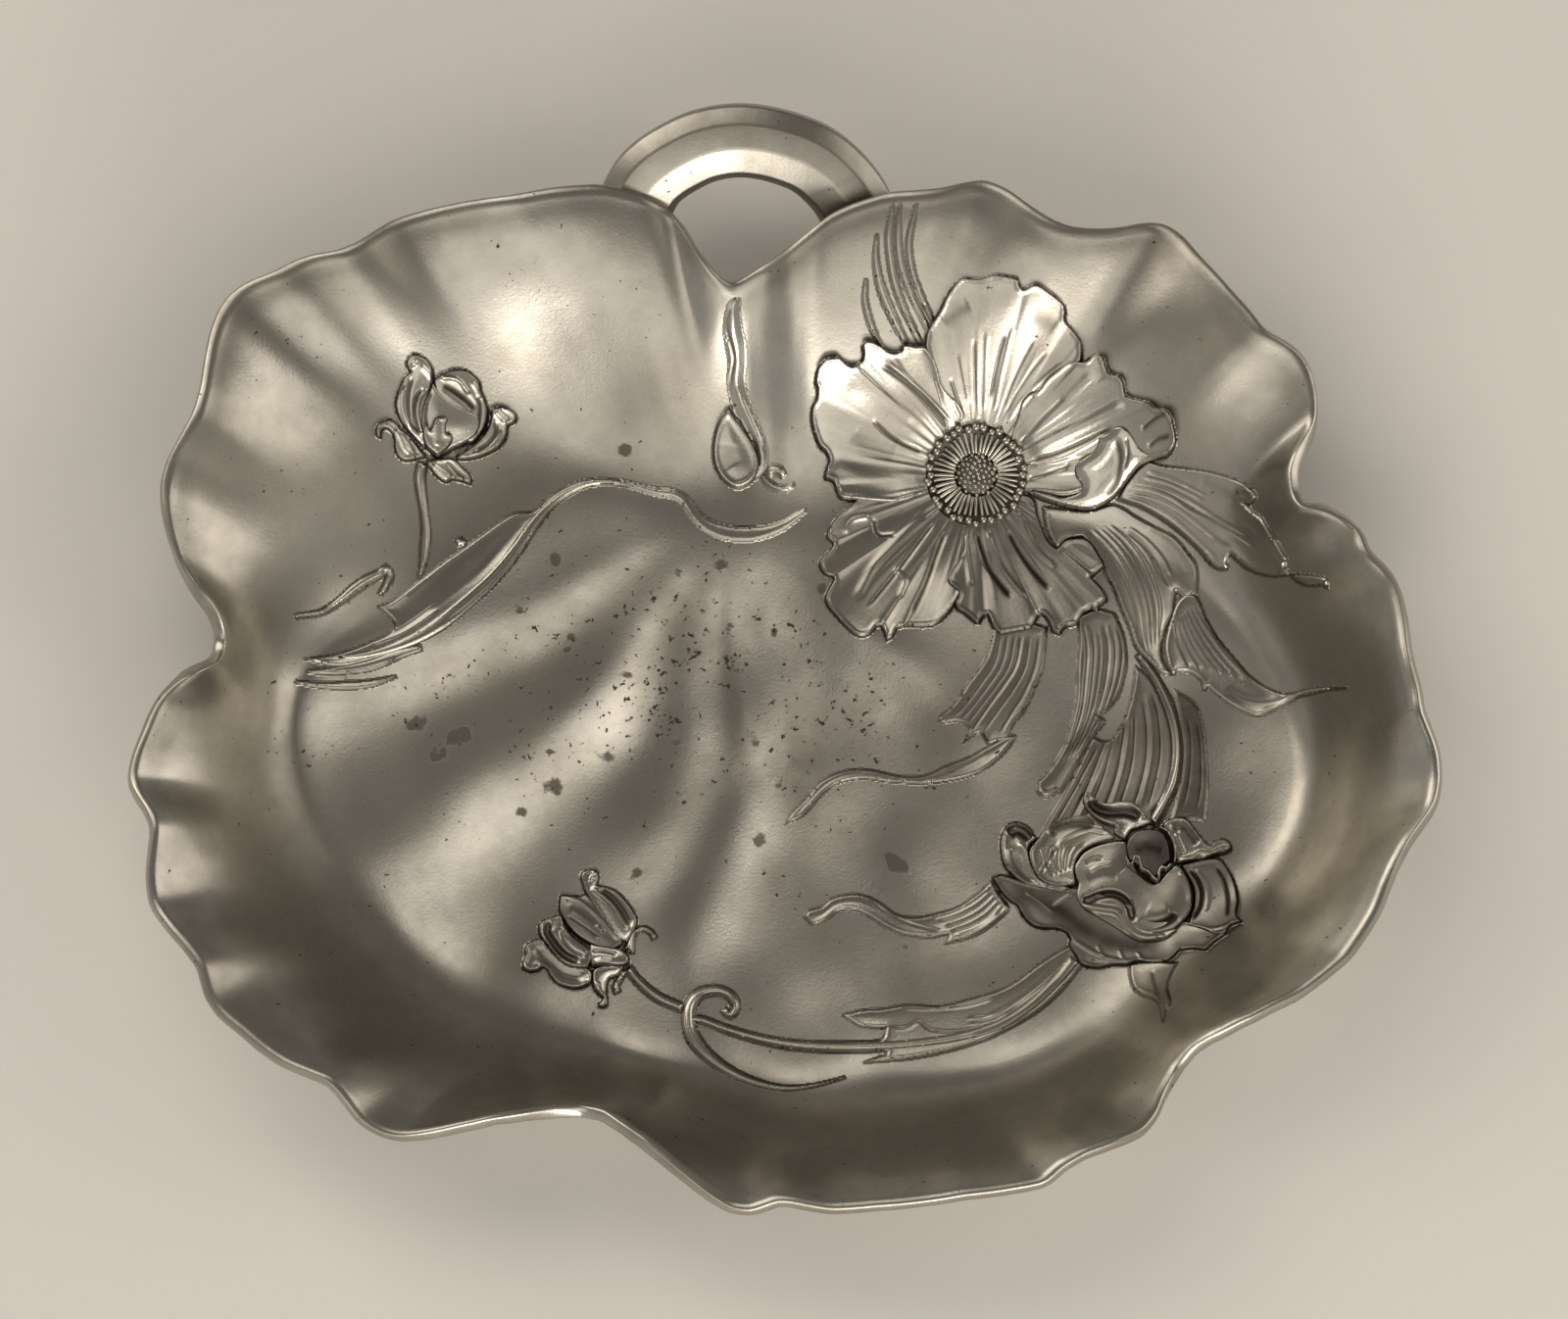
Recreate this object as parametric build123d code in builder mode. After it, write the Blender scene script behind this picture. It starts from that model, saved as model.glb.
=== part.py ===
from build123d import *
import os
import numpy as np

# Pewter leaf dish with a loop handle and poppies in relief. Millimetres, +Z up.
# The origin is on the table, under the middle of the whole outline; +Y points to the handle.

# Bowl
bowl_width = 280.0          # widest span of the leaf, left to right
rim_height = 36.0           # top of the rim over the table
bowl_wall = 2.4             # thickness of the casting
floor_top = 2.0             # top of the flat floor over the table
skin_step = 4.0             # spacing of the points that carry the skins of the relief
slope_step = 0.4            # reach over which the slope of the bowl is measured
skin_tolerance = 0.02

# Handle
handle_rise = 1.0           # ridge of the handle over the rim, at its crown
handle_seat = 4.5           # ridge of the handle under the rim, where it goes under the lip
handle_outer = 8.6          # from the ridge to the outer edge
handle_inner = 7.8          # from the ridge to the edge of the finger gap
handle_thickness = 5.6      # under the ridge
handle_edge = 2.2           # thickness at both edges
handle_strip = 3.4          # width of the steep strip along the outer edge
handle_bevel = 1.8          # width of the bevel along the finger gap
handle_face_fall = 1.0      # fall from the ridge to the strip and to the bevel

# Relief
petal_rise = 1.5            # thickness of a petal over the bowl
leaf_rise = 1.1
stem_rise = 1.3
bud_rise = 3.0              # a rounded bud at its middle
pod_rise = 3.4
boss_rise = 3.2
drop_rise = 2.6
stamen_rise = 1.2
anther_size = 1.9           # diameter of a bead of the anther ring
anther_count = 30
edge_rise_share = 0.45      # a domed piece keeps this share of its height at its edge

# Seats
solder_gap = 0.3            # film of solder under every piece that is seated on the bowl
lip_gap = 0.4               # between the handle's feet and the lip that covers them
seam_gap = 0.35             # clear line between two neighbouring pieces of relief
overrun = 20.0              # how far cutters and blanks run past what they cut

# The dish as it lies in the picture, in picture pixels
rim_left_px = 137
rim_right_px = 1463
picture_middle_px = (800, 705)
leaf_middle_px = (800, 790)
view_elevation = np.radians(78)

rim_px = [
    (753, 293), (739, 293), (721, 273), (703, 246), (683, 210), (658, 198), (614, 187), (569, 191),
    (524, 200), (499, 203), (461, 209), (430, 216), (403, 224), (385, 235), (367, 248), (344, 258),
    (322, 260), (300, 266), (282, 277), (255, 286), (239, 295), (225, 313), (217, 336), (212, 363),
    (208, 394), (201, 421), (187, 446), (174, 468), (167, 493), (169, 520), (176, 549), (187, 578),
    (205, 601), (225, 625), (232, 645), (232, 653), (228, 671), (210, 685), (187, 696), (169, 710),
    (160, 725), (151, 748), (142, 770), (137, 793), (145, 808), (156, 824), (163, 842), (160, 864),
    (157, 891), (160, 918), (174, 938), (194, 961), (210, 983), (217, 1012), (228, 1028), (250, 1046),
    (268, 1062), (291, 1078), (317, 1089), (340, 1098), (356, 1116), (371, 1136), (389, 1147), (407, 1152),
    (434, 1150), (466, 1144), (501, 1137), (537, 1132), (569, 1127), (596, 1125), (618, 1129), (641, 1145),
    (659, 1158), (681, 1176), (703, 1194), (726, 1212), (748, 1225), (766, 1227), (793, 1218), (807, 1219),
    (847, 1226), (892, 1223), (937, 1219), (982, 1212), (1027, 1206), (1063, 1199), (1081, 1183),
    (1103, 1170), (1135, 1158), (1161, 1147), (1175, 1131), (1184, 1109), (1195, 1087), (1211, 1066),
    (1233, 1053), (1265, 1037), (1296, 1021), (1323, 1008), (1350, 988), (1372, 970), (1386, 950),
    (1402, 923), (1410, 900), (1419, 878), (1431, 855), (1444, 837), (1458, 817), (1463, 793), (1461, 766),
    (1453, 745), (1444, 725), (1442, 703), (1435, 680), (1431, 658), (1428, 627), (1422, 601), (1413, 583),
    (1402, 576), (1390, 562), (1386, 544), (1368, 529), (1350, 524), (1327, 522), (1316, 509), (1314, 484),
    (1321, 461), (1334, 444), (1342, 426), (1342, 403), (1336, 376), (1325, 358), (1307, 347), (1289, 339),
    (1274, 318), (1256, 298), (1238, 277), (1222, 260), (1206, 239), (1188, 226), (1170, 226), (1148, 233),
    (1121, 236), (1094, 235), (1072, 226), (1049, 210), (1027, 192), (1004, 182), (982, 187), (960, 193),
    (933, 195), (908, 196), (870, 208), (847, 219), (832, 232), (807, 253), (780, 273),
]
# Where the wall leaves the floor
floor_edge_px = [
    (1325, 790), (1310, 718), (1230, 600), (1020, 545), (880, 560), (777, 545), (700, 530), (590, 495),
    (520, 540), (430, 620), (308, 664), (300, 700), (320, 849), (430, 960), (509, 1008), (638, 1065),
    (758, 1093), (900, 1089), (1049, 1077), (1180, 960), (1300, 878),
]
# Places where the rim dips, each with its depth as a share of the rim height, and its spread in degrees
rim_dip_shares = [
    ((753, 293), 0.34, 6.0), ((232, 650), 0.20, 6.0), ((596, 1125), 0.18, 6.0), ((1195, 1087), 0.22, 6.0),
    ((1314, 484), 0.16, 5.0), ((430, 216), 0.06, 8.0), ((1121, 236), 0.08, 7.0), ((1350, 1000), 0.06, 7.0),
]
droop_share = 0.45          # the rim sinks by this share of how far a ruffle stands out
lip_share = 0.22            # how much of the wall's climb goes on steadily right up to the lip
ruffle_start_share = 0.35   # the ruffles begin at this share of the wall's width
ruffle_blur = 7.0           # degrees, width of the smooth line that the ruffles ride on
rim_blur = 0.55             # degrees
floor_blur = 5.0            # degrees
ring_turn = 0.25            # degrees between the points of a ring

wall_rings = 16             # rings that carry the skin on the inner side of the wall
outer_rings = 12            # and on the outer side
base_ring_share = 0.2       # lowest ring of the outer side, as a share of the wall's width
ring_pick = 12              # every so many points of a ring carry its curve
arc_pick = 5                # and after so many of those the curve is cut into a new arc

# Ridge of the handle, from under the lip on the left to under the lip on the right
handle_ridge_px = [
    (641, 234), (658, 198), (695, 167), (750, 151), (805, 160), (848, 186), (866, 208), (882, 240),
]
handle_crown_px = (750, 151)
handle_lip_px = (658, 198)   # where the ridge goes under the lip
handle_reach_turns = (68, 122)  # degrees round the leaf's middle between which the lip covers the handle

# Outlines of the relief. Each is a list of stretches that meet at corners; a stretch is a smooth curve.
drop_px = [
    [(749, 306), (742, 330), (742, 360), (745, 380), (740, 396), (739, 418)],
    [(739, 418), (731, 435), (725, 462), (730, 483), (742, 497), (757, 499), (771, 490), (779, 470),
     (774, 450), (762, 434), (748, 420)],
    [(748, 420), (746, 400), (752, 385), (757, 366), (753, 340), (755, 308)],
    [(755, 308), (749, 306)],
]
drop_middle_px = (752, 466)

flower_middle_px = (997, 485)
anther_ring_px = 46         # radius of the ring of anthers
flower_ring_px = 53         # radius of the opening that the petals leave round the stamens
boss_px = 25
stamen_inner_px = 27
stamen_outer_px = 40
bud_reach_px = 50
seed_pod_reach_px = 26
corolla_px = [
    [(944, 354), (947, 338), (960, 322), (964, 306), (982, 284), (1000, 285), (1018, 281), (1040, 286)],
    [(1040, 286), (1044, 295), (1060, 291), (1078, 304), (1088, 320), (1090, 334), (1104, 352), (1106, 369)],
    [(1106, 369), (1119, 362), (1128, 371), (1142, 384), (1150, 403), (1172, 411)],
    [(1172, 411), (1190, 419), (1199, 438), (1201, 452), (1194, 464), (1185, 469)],
    [(1185, 469), (1166, 476), (1154, 489), (1138, 508), (1112, 520), (1082, 516), (1054, 507), (1030, 495)],
    [(1030, 495), (1042, 510), (1058, 522), (1068, 546), (1080, 559), (1094, 550), (1112, 553), (1128, 575)],
    [(1128, 575), (1119, 592), (1131, 613), (1121, 625), (1106, 628), (1098, 639), (1082, 647)],
    [(1082, 647), (1072, 638), (1062, 629), (1054, 641), (1022, 648), (1011, 630), (999, 637)],
    [(999, 637), (985, 627), (975, 616), (966, 630), (948, 639), (916, 642), (905, 654)],
    [(905, 654), (898, 640), (884, 650), (862, 640), (844, 620), (842, 604), (851, 590)],
    [(851, 590), (837, 580), (840, 567), (850, 555), (845, 543), (858, 524), (876, 513), (862, 509)],
    [(862, 509), (854, 502), (843, 487), (846, 468), (831, 442), (828, 420), (834, 396), (834, 378), (843, 367)],
    [(843, 367), (857, 365), (868, 374), (880, 366), (884, 349), (900, 354), (914, 360), (923, 352), (944, 354)],
]
petal_seams_px = [
    [(940, 350), (955, 367), (962, 391), (980, 412), (990, 445)],
    [(1110, 364), (1092, 370), (1068, 388), (1045, 409), (1025, 452)],
    [(1190, 473), (1165, 458), (1146, 436), (1121, 450), (1098, 478), (1104, 498), (1082, 507), (1035, 497)],
    [(978, 622), (979, 607), (967, 592), (983, 562), (983, 520)],
    [(850, 505), (885, 512), (915, 514), (955, 500)],
]
petal_names = ["lower_left", "lower_right", "curl", "right", "top", "left"]

leaves_px = {
    "leaf_to_rim": [
        [(897, 214), (932, 209), (927, 240), (930, 272), (942, 303), (951, 320)],
        [(951, 320), (941, 335), (938, 347), (922, 345), (905, 349), (896, 344)],
        [(896, 344), (883, 322), (877, 290), (880, 250), (897, 214)],
    ],
    "leaf_right": [
        [(1170, 481), (1212, 478), (1250, 486), (1276, 496), (1284, 506)],
        [(1284, 506), (1281, 516), (1292, 530), (1304, 556), (1322, 578), (1354, 590)],
        [(1354, 590), (1350, 600), (1328, 598), (1308, 588), (1284, 586), (1262, 574)],
        [(1262, 574), (1250, 583), (1234, 576), (1208, 547), (1176, 524), (1146, 510)],
        [(1146, 510), (1158, 494), (1170, 481)],
    ],
    "leaf_fluted": [
        [(1140, 516), (1172, 530), (1198, 548), (1218, 580), (1220, 608), (1240, 647), (1274, 687)],
        [(1274, 687), (1298, 705), (1318, 708), (1345, 702), (1376, 701)],
        [(1376, 701), (1348, 709), (1324, 720), (1298, 731), (1270, 728), (1240, 708)],
        [(1240, 708), (1220, 684), (1206, 660), (1199, 640), (1205, 618), (1186, 585), (1160, 552), (1126, 526)],
        [(1126, 526), (1140, 516)],
    ],
    "leaf_back": [
        [(1120, 530), (1156, 558), (1182, 594), (1196, 622), (1190, 650), (1194, 672), (1204, 690)],
        [(1204, 690), (1192, 690), (1174, 672), (1160, 662), (1150, 628), (1138, 598), (1138, 574), (1112, 542)],
        [(1112, 542), (1120, 530)],
    ],
    "leaf_hanging_left": [
        [(1016, 656), (1060, 650), (1066, 656), (1058, 690), (1044, 722), (1028, 742), (1008, 760)],
        [(1008, 760), (1012, 742), (1000, 744), (986, 760), (990, 742), (980, 738), (958, 735)],
        [(958, 735), (972, 712), (998, 692), (1016, 656)],
    ],
    "leaf_hanging_middle": [
        [(1092, 650), (1106, 636), (1124, 636), (1136, 632), (1148, 664), (1149, 696), (1142, 716), (1122, 730)],
        [(1122, 730), (1119, 742), (1112, 752), (1096, 790), (1080, 806), (1062, 808)],
        [(1062, 808), (1078, 786), (1094, 752), (1101, 716), (1102, 690), (1092, 650)],
    ],
    "leaf_strands": [
        [(1122, 752), (1142, 746), (1160, 700), (1166, 690), (1182, 722), (1192, 756), (1190, 790), (1172, 820)],
        [(1172, 820), (1158, 816), (1140, 814), (1120, 814), (1110, 806), (1104, 812), (1096, 812)],
        [(1096, 812), (1110, 790), (1122, 752)],
    ],
    "leaf_low": [
        [(1157, 993), (1196, 990), (1193, 1006), (1196, 1020), (1188, 1040)],
        [(1188, 1040), (1184, 1026), (1162, 1010), (1157, 993)],
    ],
    "ribbon_left": [
        [(652, 497), (620, 492), (590, 495), (562, 510), (540, 538), (514, 572), (484, 602), (452, 628)],
        [(452, 628), (424, 651), (384, 668), (340, 676), (310, 672)],
        [(310, 672), (350, 656), (398, 640), (384, 618), (420, 592), (460, 562), (494, 532), (528, 518)],
        [(528, 518), (556, 500), (590, 487), (624, 486), (652, 497)],
    ],
    "ribbon_middle": [
        [(804, 838), (822, 818), (840, 796), (872, 786), (922, 794), (976, 785), (1008, 768), (1024, 752)],
        [(1024, 752), (1036, 750), (1018, 776), (988, 792), (936, 803), (880, 796), (848, 806), (828, 826)],
        [(828, 826), (804, 838)],
    ],
    "ribbon_low": [
        [(822, 940), (836, 922), (864, 910), (896, 922), (928, 938), (962, 930), (1000, 908), (1013, 898)],
        [(1013, 898), (1024, 920), (1004, 942), (966, 956), (966, 950), (916, 946), (884, 932), (858, 926)],
        [(858, 926), (842, 932), (822, 940)],
    ],
}
stems_px = {
    "stem_left_bud": ([(428, 498), (430, 520), (432, 545), (429, 566)], 1.7),
    "stem_lower_bud": ([(652, 992), (664, 1004), (678, 1016), (690, 1024)], 1.5),
    "stem_half_open": ([(1164, 676), (1186, 702), (1202, 748), (1204, 784), (1196, 814), (1184, 834)], 1.8),
    "stem_long": ([(716, 1042), (770, 1056), (830, 1067), (900, 1066), (980, 1064), (1040, 1040),
                   (1080, 1002), (1092, 984)], 2.0),
    "tendril": ([(742, 1036), (750, 1024), (738, 1013), (718, 1016), (706, 1036), (712, 1064), (738, 1090),
                 (780, 1108), (830, 1106), (890, 1094), (960, 1078)], 1.6),
}
buds_px = {
    "left_bud": (
        [[(445, 383), (470, 379), (488, 388), (494, 410), (493, 440), (474, 452), (452, 466), (438, 466)],
         [(438, 466), (424, 452), (410, 436), (402, 414), (406, 392), (418, 380), (413, 368), (424, 362)],
         [(424, 362), (438, 368), (445, 383)]],
        (450, 420),
    ),
    "lower_bud": (
        [[(596, 906), (594, 892), (608, 891), (608, 904), (632, 914), (648, 938), (646, 955), (634, 968)],
         [(634, 968), (640, 984), (606, 989), (584, 988), (558, 978), (535, 986), (536, 968), (552, 958)],
         [(552, 958), (548, 938), (566, 918), (596, 906)]],
        (595, 946),
    ),
}
sepals_px = {
    "left_bud_sepals": [
        [(382, 442), (388, 430), (402, 434), (414, 450), (430, 468), (452, 473), (470, 476), (478, 492)],
        [(478, 492), (456, 492), (440, 480), (430, 484), (420, 478), (406, 466), (398, 446), (382, 442)],
    ],
    "left_bud_outer_petal": [
        [(502, 418), (524, 420), (520, 436), (512, 450), (490, 464), (466, 466), (460, 462)],
        [(460, 462), (482, 450), (498, 440), (502, 418)],
    ],
    "lower_bud_sepals": [
        [(552, 994), (590, 997), (612, 994), (644, 988), (636, 1000), (620, 1004), (612, 1026), (603, 1006)],
        [(603, 1006), (580, 1008), (560, 1000), (552, 994)],
    ],
}
half_open_px = {
    "half_open_left_petal": [
        [(1021, 862), (1030, 841), (1048, 845), (1058, 860), (1050, 876), (1060, 898), (1090, 906)],
        [(1090, 906), (1060, 909), (1034, 894), (1023, 876), (1021, 862)],
    ],
    "half_open_back_petal": [
        [(1064, 856), (1084, 838), (1106, 834), (1124, 848), (1136, 856), (1108, 866), (1093, 884), (1094, 900)],
        [(1094, 900), (1068, 898), (1057, 878), (1064, 856)],
    ],
    "half_open_top_petal": [
        [(1106, 824), (1114, 817), (1136, 822), (1160, 826), (1174, 842), (1152, 844), (1128, 842), (1106, 824)],
    ],
    "half_open_right_petal": [
        [(1196, 846), (1206, 837), (1220, 850), (1236, 862), (1254, 866), (1222, 876), (1204, 876), (1196, 846)],
    ],
    "half_open_front_petal": [
        [(1146, 864), (1112, 872), (1098, 886), (1100, 906), (1112, 914), (1140, 914), (1152, 926)],
        [(1152, 926), (1154, 950), (1184, 954), (1208, 940), (1214, 910), (1202, 884)],
        [(1202, 884), (1192, 894), (1178, 900), (1160, 890), (1146, 864)],
    ],
    "half_open_outer_petal": [
        [(1210, 884), (1240, 888), (1260, 906), (1258, 936), (1230, 944), (1220, 934), (1221, 906), (1210, 884)],
    ],
    "half_open_lip": [
        [(1096, 914), (1108, 920), (1136, 922), (1146, 932), (1150, 952), (1172, 960), (1204, 952), (1222, 950)],
        [(1222, 950), (1228, 968), (1190, 982), (1150, 984), (1104, 988), (1096, 966), (1090, 952), (1056, 946)],
        [(1056, 946), (1036, 924), (1020, 904), (1056, 916), (1096, 914)],
    ],
}
seed_pod_px = [[(1152, 856), (1172, 850), (1190, 858), (1195, 874), (1180, 892), (1162, 882), (1152, 856)]]
seed_pod_middle_px = (1173, 870)

view_rise = np.sin(view_elevation)
view_drop = np.cos(view_elevation)
scale = bowl_width / (rim_right_px - rim_left_px)


def seen(point_px, height):
    """Place in plan of a picture point that lies this high, before the origin is set."""
    across = (point_px[0] - picture_middle_px[0]) * scale
    up = (picture_middle_px[1] - point_px[1]) * scale
    return across, (up - height * view_drop) / view_rise


def ease(share):
    """Climb smoothly from 0 to 1."""
    share = np.clip(share, 0, 1)
    return share * share * (3 - 2 * share)


def rim_top(point_px):
    """Height of the rim at a picture point, with its dips and without its ruffles."""
    here = np.arctan2(leaf_middle_px[1] - point_px[1], point_px[0] - leaf_middle_px[0])
    share = 1.0
    for dip_px, depth, spread in rim_dip_shares:
        there = np.arctan2(leaf_middle_px[1] - dip_px[1], dip_px[0] - leaf_middle_px[0])
        apart = np.degrees((here - there + np.pi) % (2 * np.pi) - np.pi)
        share -= depth * np.exp(-(apart / spread) ** 2)
    return rim_height * share


# The origin is halfway between the handle's outer edge and the front of the rim
front_y = min(seen(point, rim_top(point))[1] for point in rim_px)
crown_y = seen(handle_crown_px, rim_height + handle_rise)[1] + handle_outer
middle_y = (front_y + crown_y) / 2


def plan(point_px, height):
    """Place in plan of a picture point that lies this high."""
    across, along = seen(point_px, height)
    return across, along - middle_y


leaf_middle = plan(leaf_middle_px, floor_top)
ring = np.radians(np.arange(0, 360, ring_turn))


def blurred(values, width):
    """A ring of values, smoothed over this many degrees."""
    steps = np.arange(-round(3 * width / ring_turn), round(3 * width / ring_turn) + 1)
    weights = np.exp(-0.5 * (steps * ring_turn / width) ** 2)
    return sum(weight * np.roll(values, step) for weight, step in zip(weights, steps)) / weights.sum()


def ring_of(places, values):
    """Values given at places round the leaf's middle, spread over the whole ring."""
    angles = np.array([np.arctan2(y - leaf_middle[1], x - leaf_middle[0]) for x, y in places]) % (2 * np.pi)
    order = np.argsort(angles)
    return np.interp(ring, angles[order], np.array(values)[order], period=2 * np.pi)


def from_middle(places):
    return [float(np.hypot(x - leaf_middle[0], y - leaf_middle[1])) for x, y in places]


rim_tops = [rim_top(point) for point in rim_px]
rim_places = [plan(point, top) for point, top in zip(rim_px, rim_tops)]
floor_places = [plan(point, floor_top) for point in floor_edge_px]
rim_ring = blurred(ring_of(rim_places, from_middle(rim_places)), rim_blur)
soft_rim_ring = blurred(rim_ring, ruffle_blur)
floor_ring = blurred(ring_of(floor_places, from_middle(floor_places)), floor_blur)
top_ring = blurred(ring_of(rim_places, rim_tops), rim_blur)
ruffle_ring = -droop_share * (rim_ring - soft_rim_ring)


def at(values, angle):
    return np.interp(angle, ring, values, period=2 * np.pi)


def inner_height(x, y):
    """Height of the bowl's inner skin, from the flat floor to the rim."""
    angle = np.arctan2(y - leaf_middle[1], x - leaf_middle[0])
    radius = np.hypot(x - leaf_middle[0], y - leaf_middle[1])
    floor_radius = at(floor_ring, angle)
    soft_radius = at(soft_rim_ring, angle)
    wall_share = (radius - floor_radius) / (soft_radius - floor_radius)
    ruffle = ease((wall_share - ruffle_start_share) / (1 - ruffle_start_share))
    edge = soft_radius + (at(rim_ring, angle) - soft_radius) * ruffle
    share = np.clip((radius - floor_radius) / (edge - floor_radius), 0, 1)
    climb = (1 - lip_share) * ease(share) + lip_share * share ** 2
    top = at(top_ring, angle) + at(ruffle_ring, angle) * ruffle
    return floor_top + (top - floor_top) * climb


def outer_height(x, y):
    """Height of the bowl's outer skin, one wall under the inner one, measured square to it."""
    slope_x = (inner_height(x + slope_step, y) - inner_height(x - slope_step, y)) / (2 * slope_step)
    slope_y = (inner_height(x, y + slope_step) - inner_height(x, y - slope_step)) / (2 * slope_step)
    return inner_height(x, y) - bowl_wall * np.sqrt(1 + slope_x ** 2 + slope_y ** 2)


def on_bowl(point_px):
    """Place in plan of a picture point that lies on the bowl."""
    place = plan(point_px, floor_top)
    for _ in range(6):
        place = plan(point_px, float(inner_height(*place)))
    return place


def ring_arcs(radii, height=None, shift=0):
    """A closed curve round the leaf at these distances from its middle, on a skin or level, as arcs."""
    x = leaf_middle[0] + radii * np.cos(ring)
    y = leaf_middle[1] + radii * np.sin(ring)
    heights = np.full(len(ring), float(shift)) if height is None else height(x, y)
    points = [Vector(x[i], y[i], heights[i]) for i in range(0, len(ring), ring_pick)]
    curve = Edge.make_spline(points, periodic=True)
    cuts = [0, *points[arc_pick::arc_pick], 1]
    return [curve.trim(start, end) for start, end in zip(cuts, cuts[1:])]


def wall_ring(share):
    return floor_ring + (rim_ring - floor_ring) * share


# The casting's skin is patch by patch from ring to ring: up the inner side, over the rim, down the outer side
rings = [ring_arcs(floor_ring, shift=floor_top)]
rings += [ring_arcs(wall_ring(share), inner_height) for share in np.linspace(0, 1, wall_rings + 1)[1:]]
rings += [ring_arcs(wall_ring(share), outer_height) for share in np.linspace(1, base_ring_share, outer_rings)]
rings += [ring_arcs(floor_ring, shift=0)]
patches = [Face(Wire(rings[0])), Face(Wire(rings[-1]))]
for lower_ring, next_ring in zip(rings, rings[1:]):
    patches += [Face.make_surface_from_curves(arc, next_arc) for arc, next_arc in zip(lower_ring, next_ring)]
with BuildPart() as leaf_bowl:
    add(Solid(Shell(patches)))


def skin(height, low, high):
    """A curved sheet over the rectangle from low to high."""
    columns = np.linspace(low.X - skin_step, high.X + skin_step, max(6, round((high.X - low.X) / skin_step) + 3))
    rows = np.linspace(low.Y - skin_step, high.Y + skin_step, max(6, round((high.Y - low.Y) / skin_step) + 3))
    points = [[(float(x), float(y), float(height(x, y))) for x in columns] for y in rows]
    return Face.make_surface_from_array_of_points(points, tol=skin_tolerance, min_deg=3, max_deg=3)


# The handle rises in one slanting plane, from under the lip to its crown
lip_height = rim_height - handle_seat
crown_height = rim_height + handle_rise
lip_y = plan(handle_lip_px, lip_height)[1]
handle_slope = (crown_height - lip_height) / (plan(handle_crown_px, crown_height)[1] - lip_y)


def on_handle(point_px):
    """Place of a picture point that lies on the handle's ridge."""
    height = crown_height
    for _ in range(12):
        x, y = plan(point_px, height)
        height = lip_height + handle_slope * (y - lip_y)
    return x, y, height


with BuildPart() as lip_cutter:
    with BuildSketch():
        with BuildLine():
            first, last = (round(turn / ring_turn) for turn in handle_reach_turns)
            lip = [(leaf_middle[0] + (rim_ring[i] + lip_gap) * np.cos(ring[i]),
                    leaf_middle[1] + (rim_ring[i] + lip_gap) * np.sin(ring[i]))
                   for i in range(first, last + 1, ring_pick)]
            Spline(*lip)
            Polyline(lip[-1], (lip[-1][0], lip_y - overrun), (lip[0][0], lip_y - overrun), lip[0])
        make_face()
    extrude(amount=rim_height + overrun)
    box = lip_cutter.part.bounding_box()
    split(bisect_by=skin(lambda x, y: outer_height(x, y) - lip_gap, box.min, box.max), keep=Keep.BOTTOM)

with BuildPart() as handle:
    with BuildLine() as ridge:
        Spline(*[on_handle(point) for point in handle_ridge_px])
    start = ridge.line @ 0
    along = ridge.line % 0
    up = Vector(0, -handle_slope, 1).normalized()
    with BuildSketch(Plane(origin=start, x_dir=up.cross(along), z_dir=along)):
        with BuildLine():
            Polyline(
                (0, 0),
                (handle_outer - handle_strip, -handle_face_fall),
                (handle_outer, handle_edge - handle_thickness),
                (handle_outer, -handle_thickness),
                (-handle_inner, -handle_thickness),
                (-handle_inner, handle_edge - handle_thickness),
                (handle_bevel - handle_inner, -handle_face_fall),
                close=True,
            )
        make_face()
    sweep(path=ridge.line)
    add(lip_cutter.part, mode=Mode.SUBTRACT)
    add(leaf_bowl.part, mode=Mode.SUBTRACT)


def dome(rise, middle_px, reach_px):
    """A rise that falls off from the middle of a rounded piece to its edge."""
    middle = on_bowl(middle_px)
    reach = reach_px * scale

    def height(x, y):
        away = min(np.hypot(x - middle[0], y - middle[1]) / reach, 1)
        return rise * (1 - (1 - edge_rise_share) * away ** 2)

    return height


def even(rise):
    return lambda x, y: rise


def lay_on_bowl(piece, rise):
    """Cut a standing blank down to the relief that lies on the bowl, this high."""
    box = piece.part.bounding_box()
    top = skin(lambda x, y: inner_height(x, y) + solder_gap + rise(x, y), box.min, box.max)
    split(bisect_by=top, keep=Keep.TOP)
    seat = skin(lambda x, y: inner_height(x, y) + solder_gap, box.min, box.max)
    split(bisect_by=seat, keep=Keep.BOTTOM)


def draw(stretches):
    """Draw an outline of the relief in plan."""
    for stretch in stretches:
        places = [on_bowl(point) for point in stretch]
        if len(places) == 2:
            Line(*places)
        else:
            Spline(*places)


def circle_px(middle_px, radius_px, count):
    turn = 2 * np.pi / count
    return [(middle_px[0] + radius_px * np.cos(i * turn), middle_px[1] - radius_px * np.sin(i * turn))
            for i in range(count)]


def closed_px(middle_px, radius_px):
    points = circle_px(middle_px, radius_px, 24)
    return [*points, points[0]]


def relief(stretches, rise):
    with BuildPart() as piece:
        with BuildSketch():
            with BuildLine():
                draw(stretches)
            make_face()
        extrude(amount=blank_height)
        lay_on_bowl(piece, rise)
    return piece


def stem(points, width):
    """A narrow rib along a curve."""
    with BuildPart() as piece:
        with BuildSketch():
            with BuildLine():
                draw([points])
            trace(line_width=width)
        extrude(amount=blank_height)
        lay_on_bowl(piece, even(stem_rise))
    return piece


blank_height = rim_height + overrun
anther_lift = solder_gap + 0.6 * anther_size
pieces = {"leaf_bowl": leaf_bowl, "handle": handle}
pieces["stem_drop"] = relief(drop_px, dome(drop_rise, drop_middle_px, 40))

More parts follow.
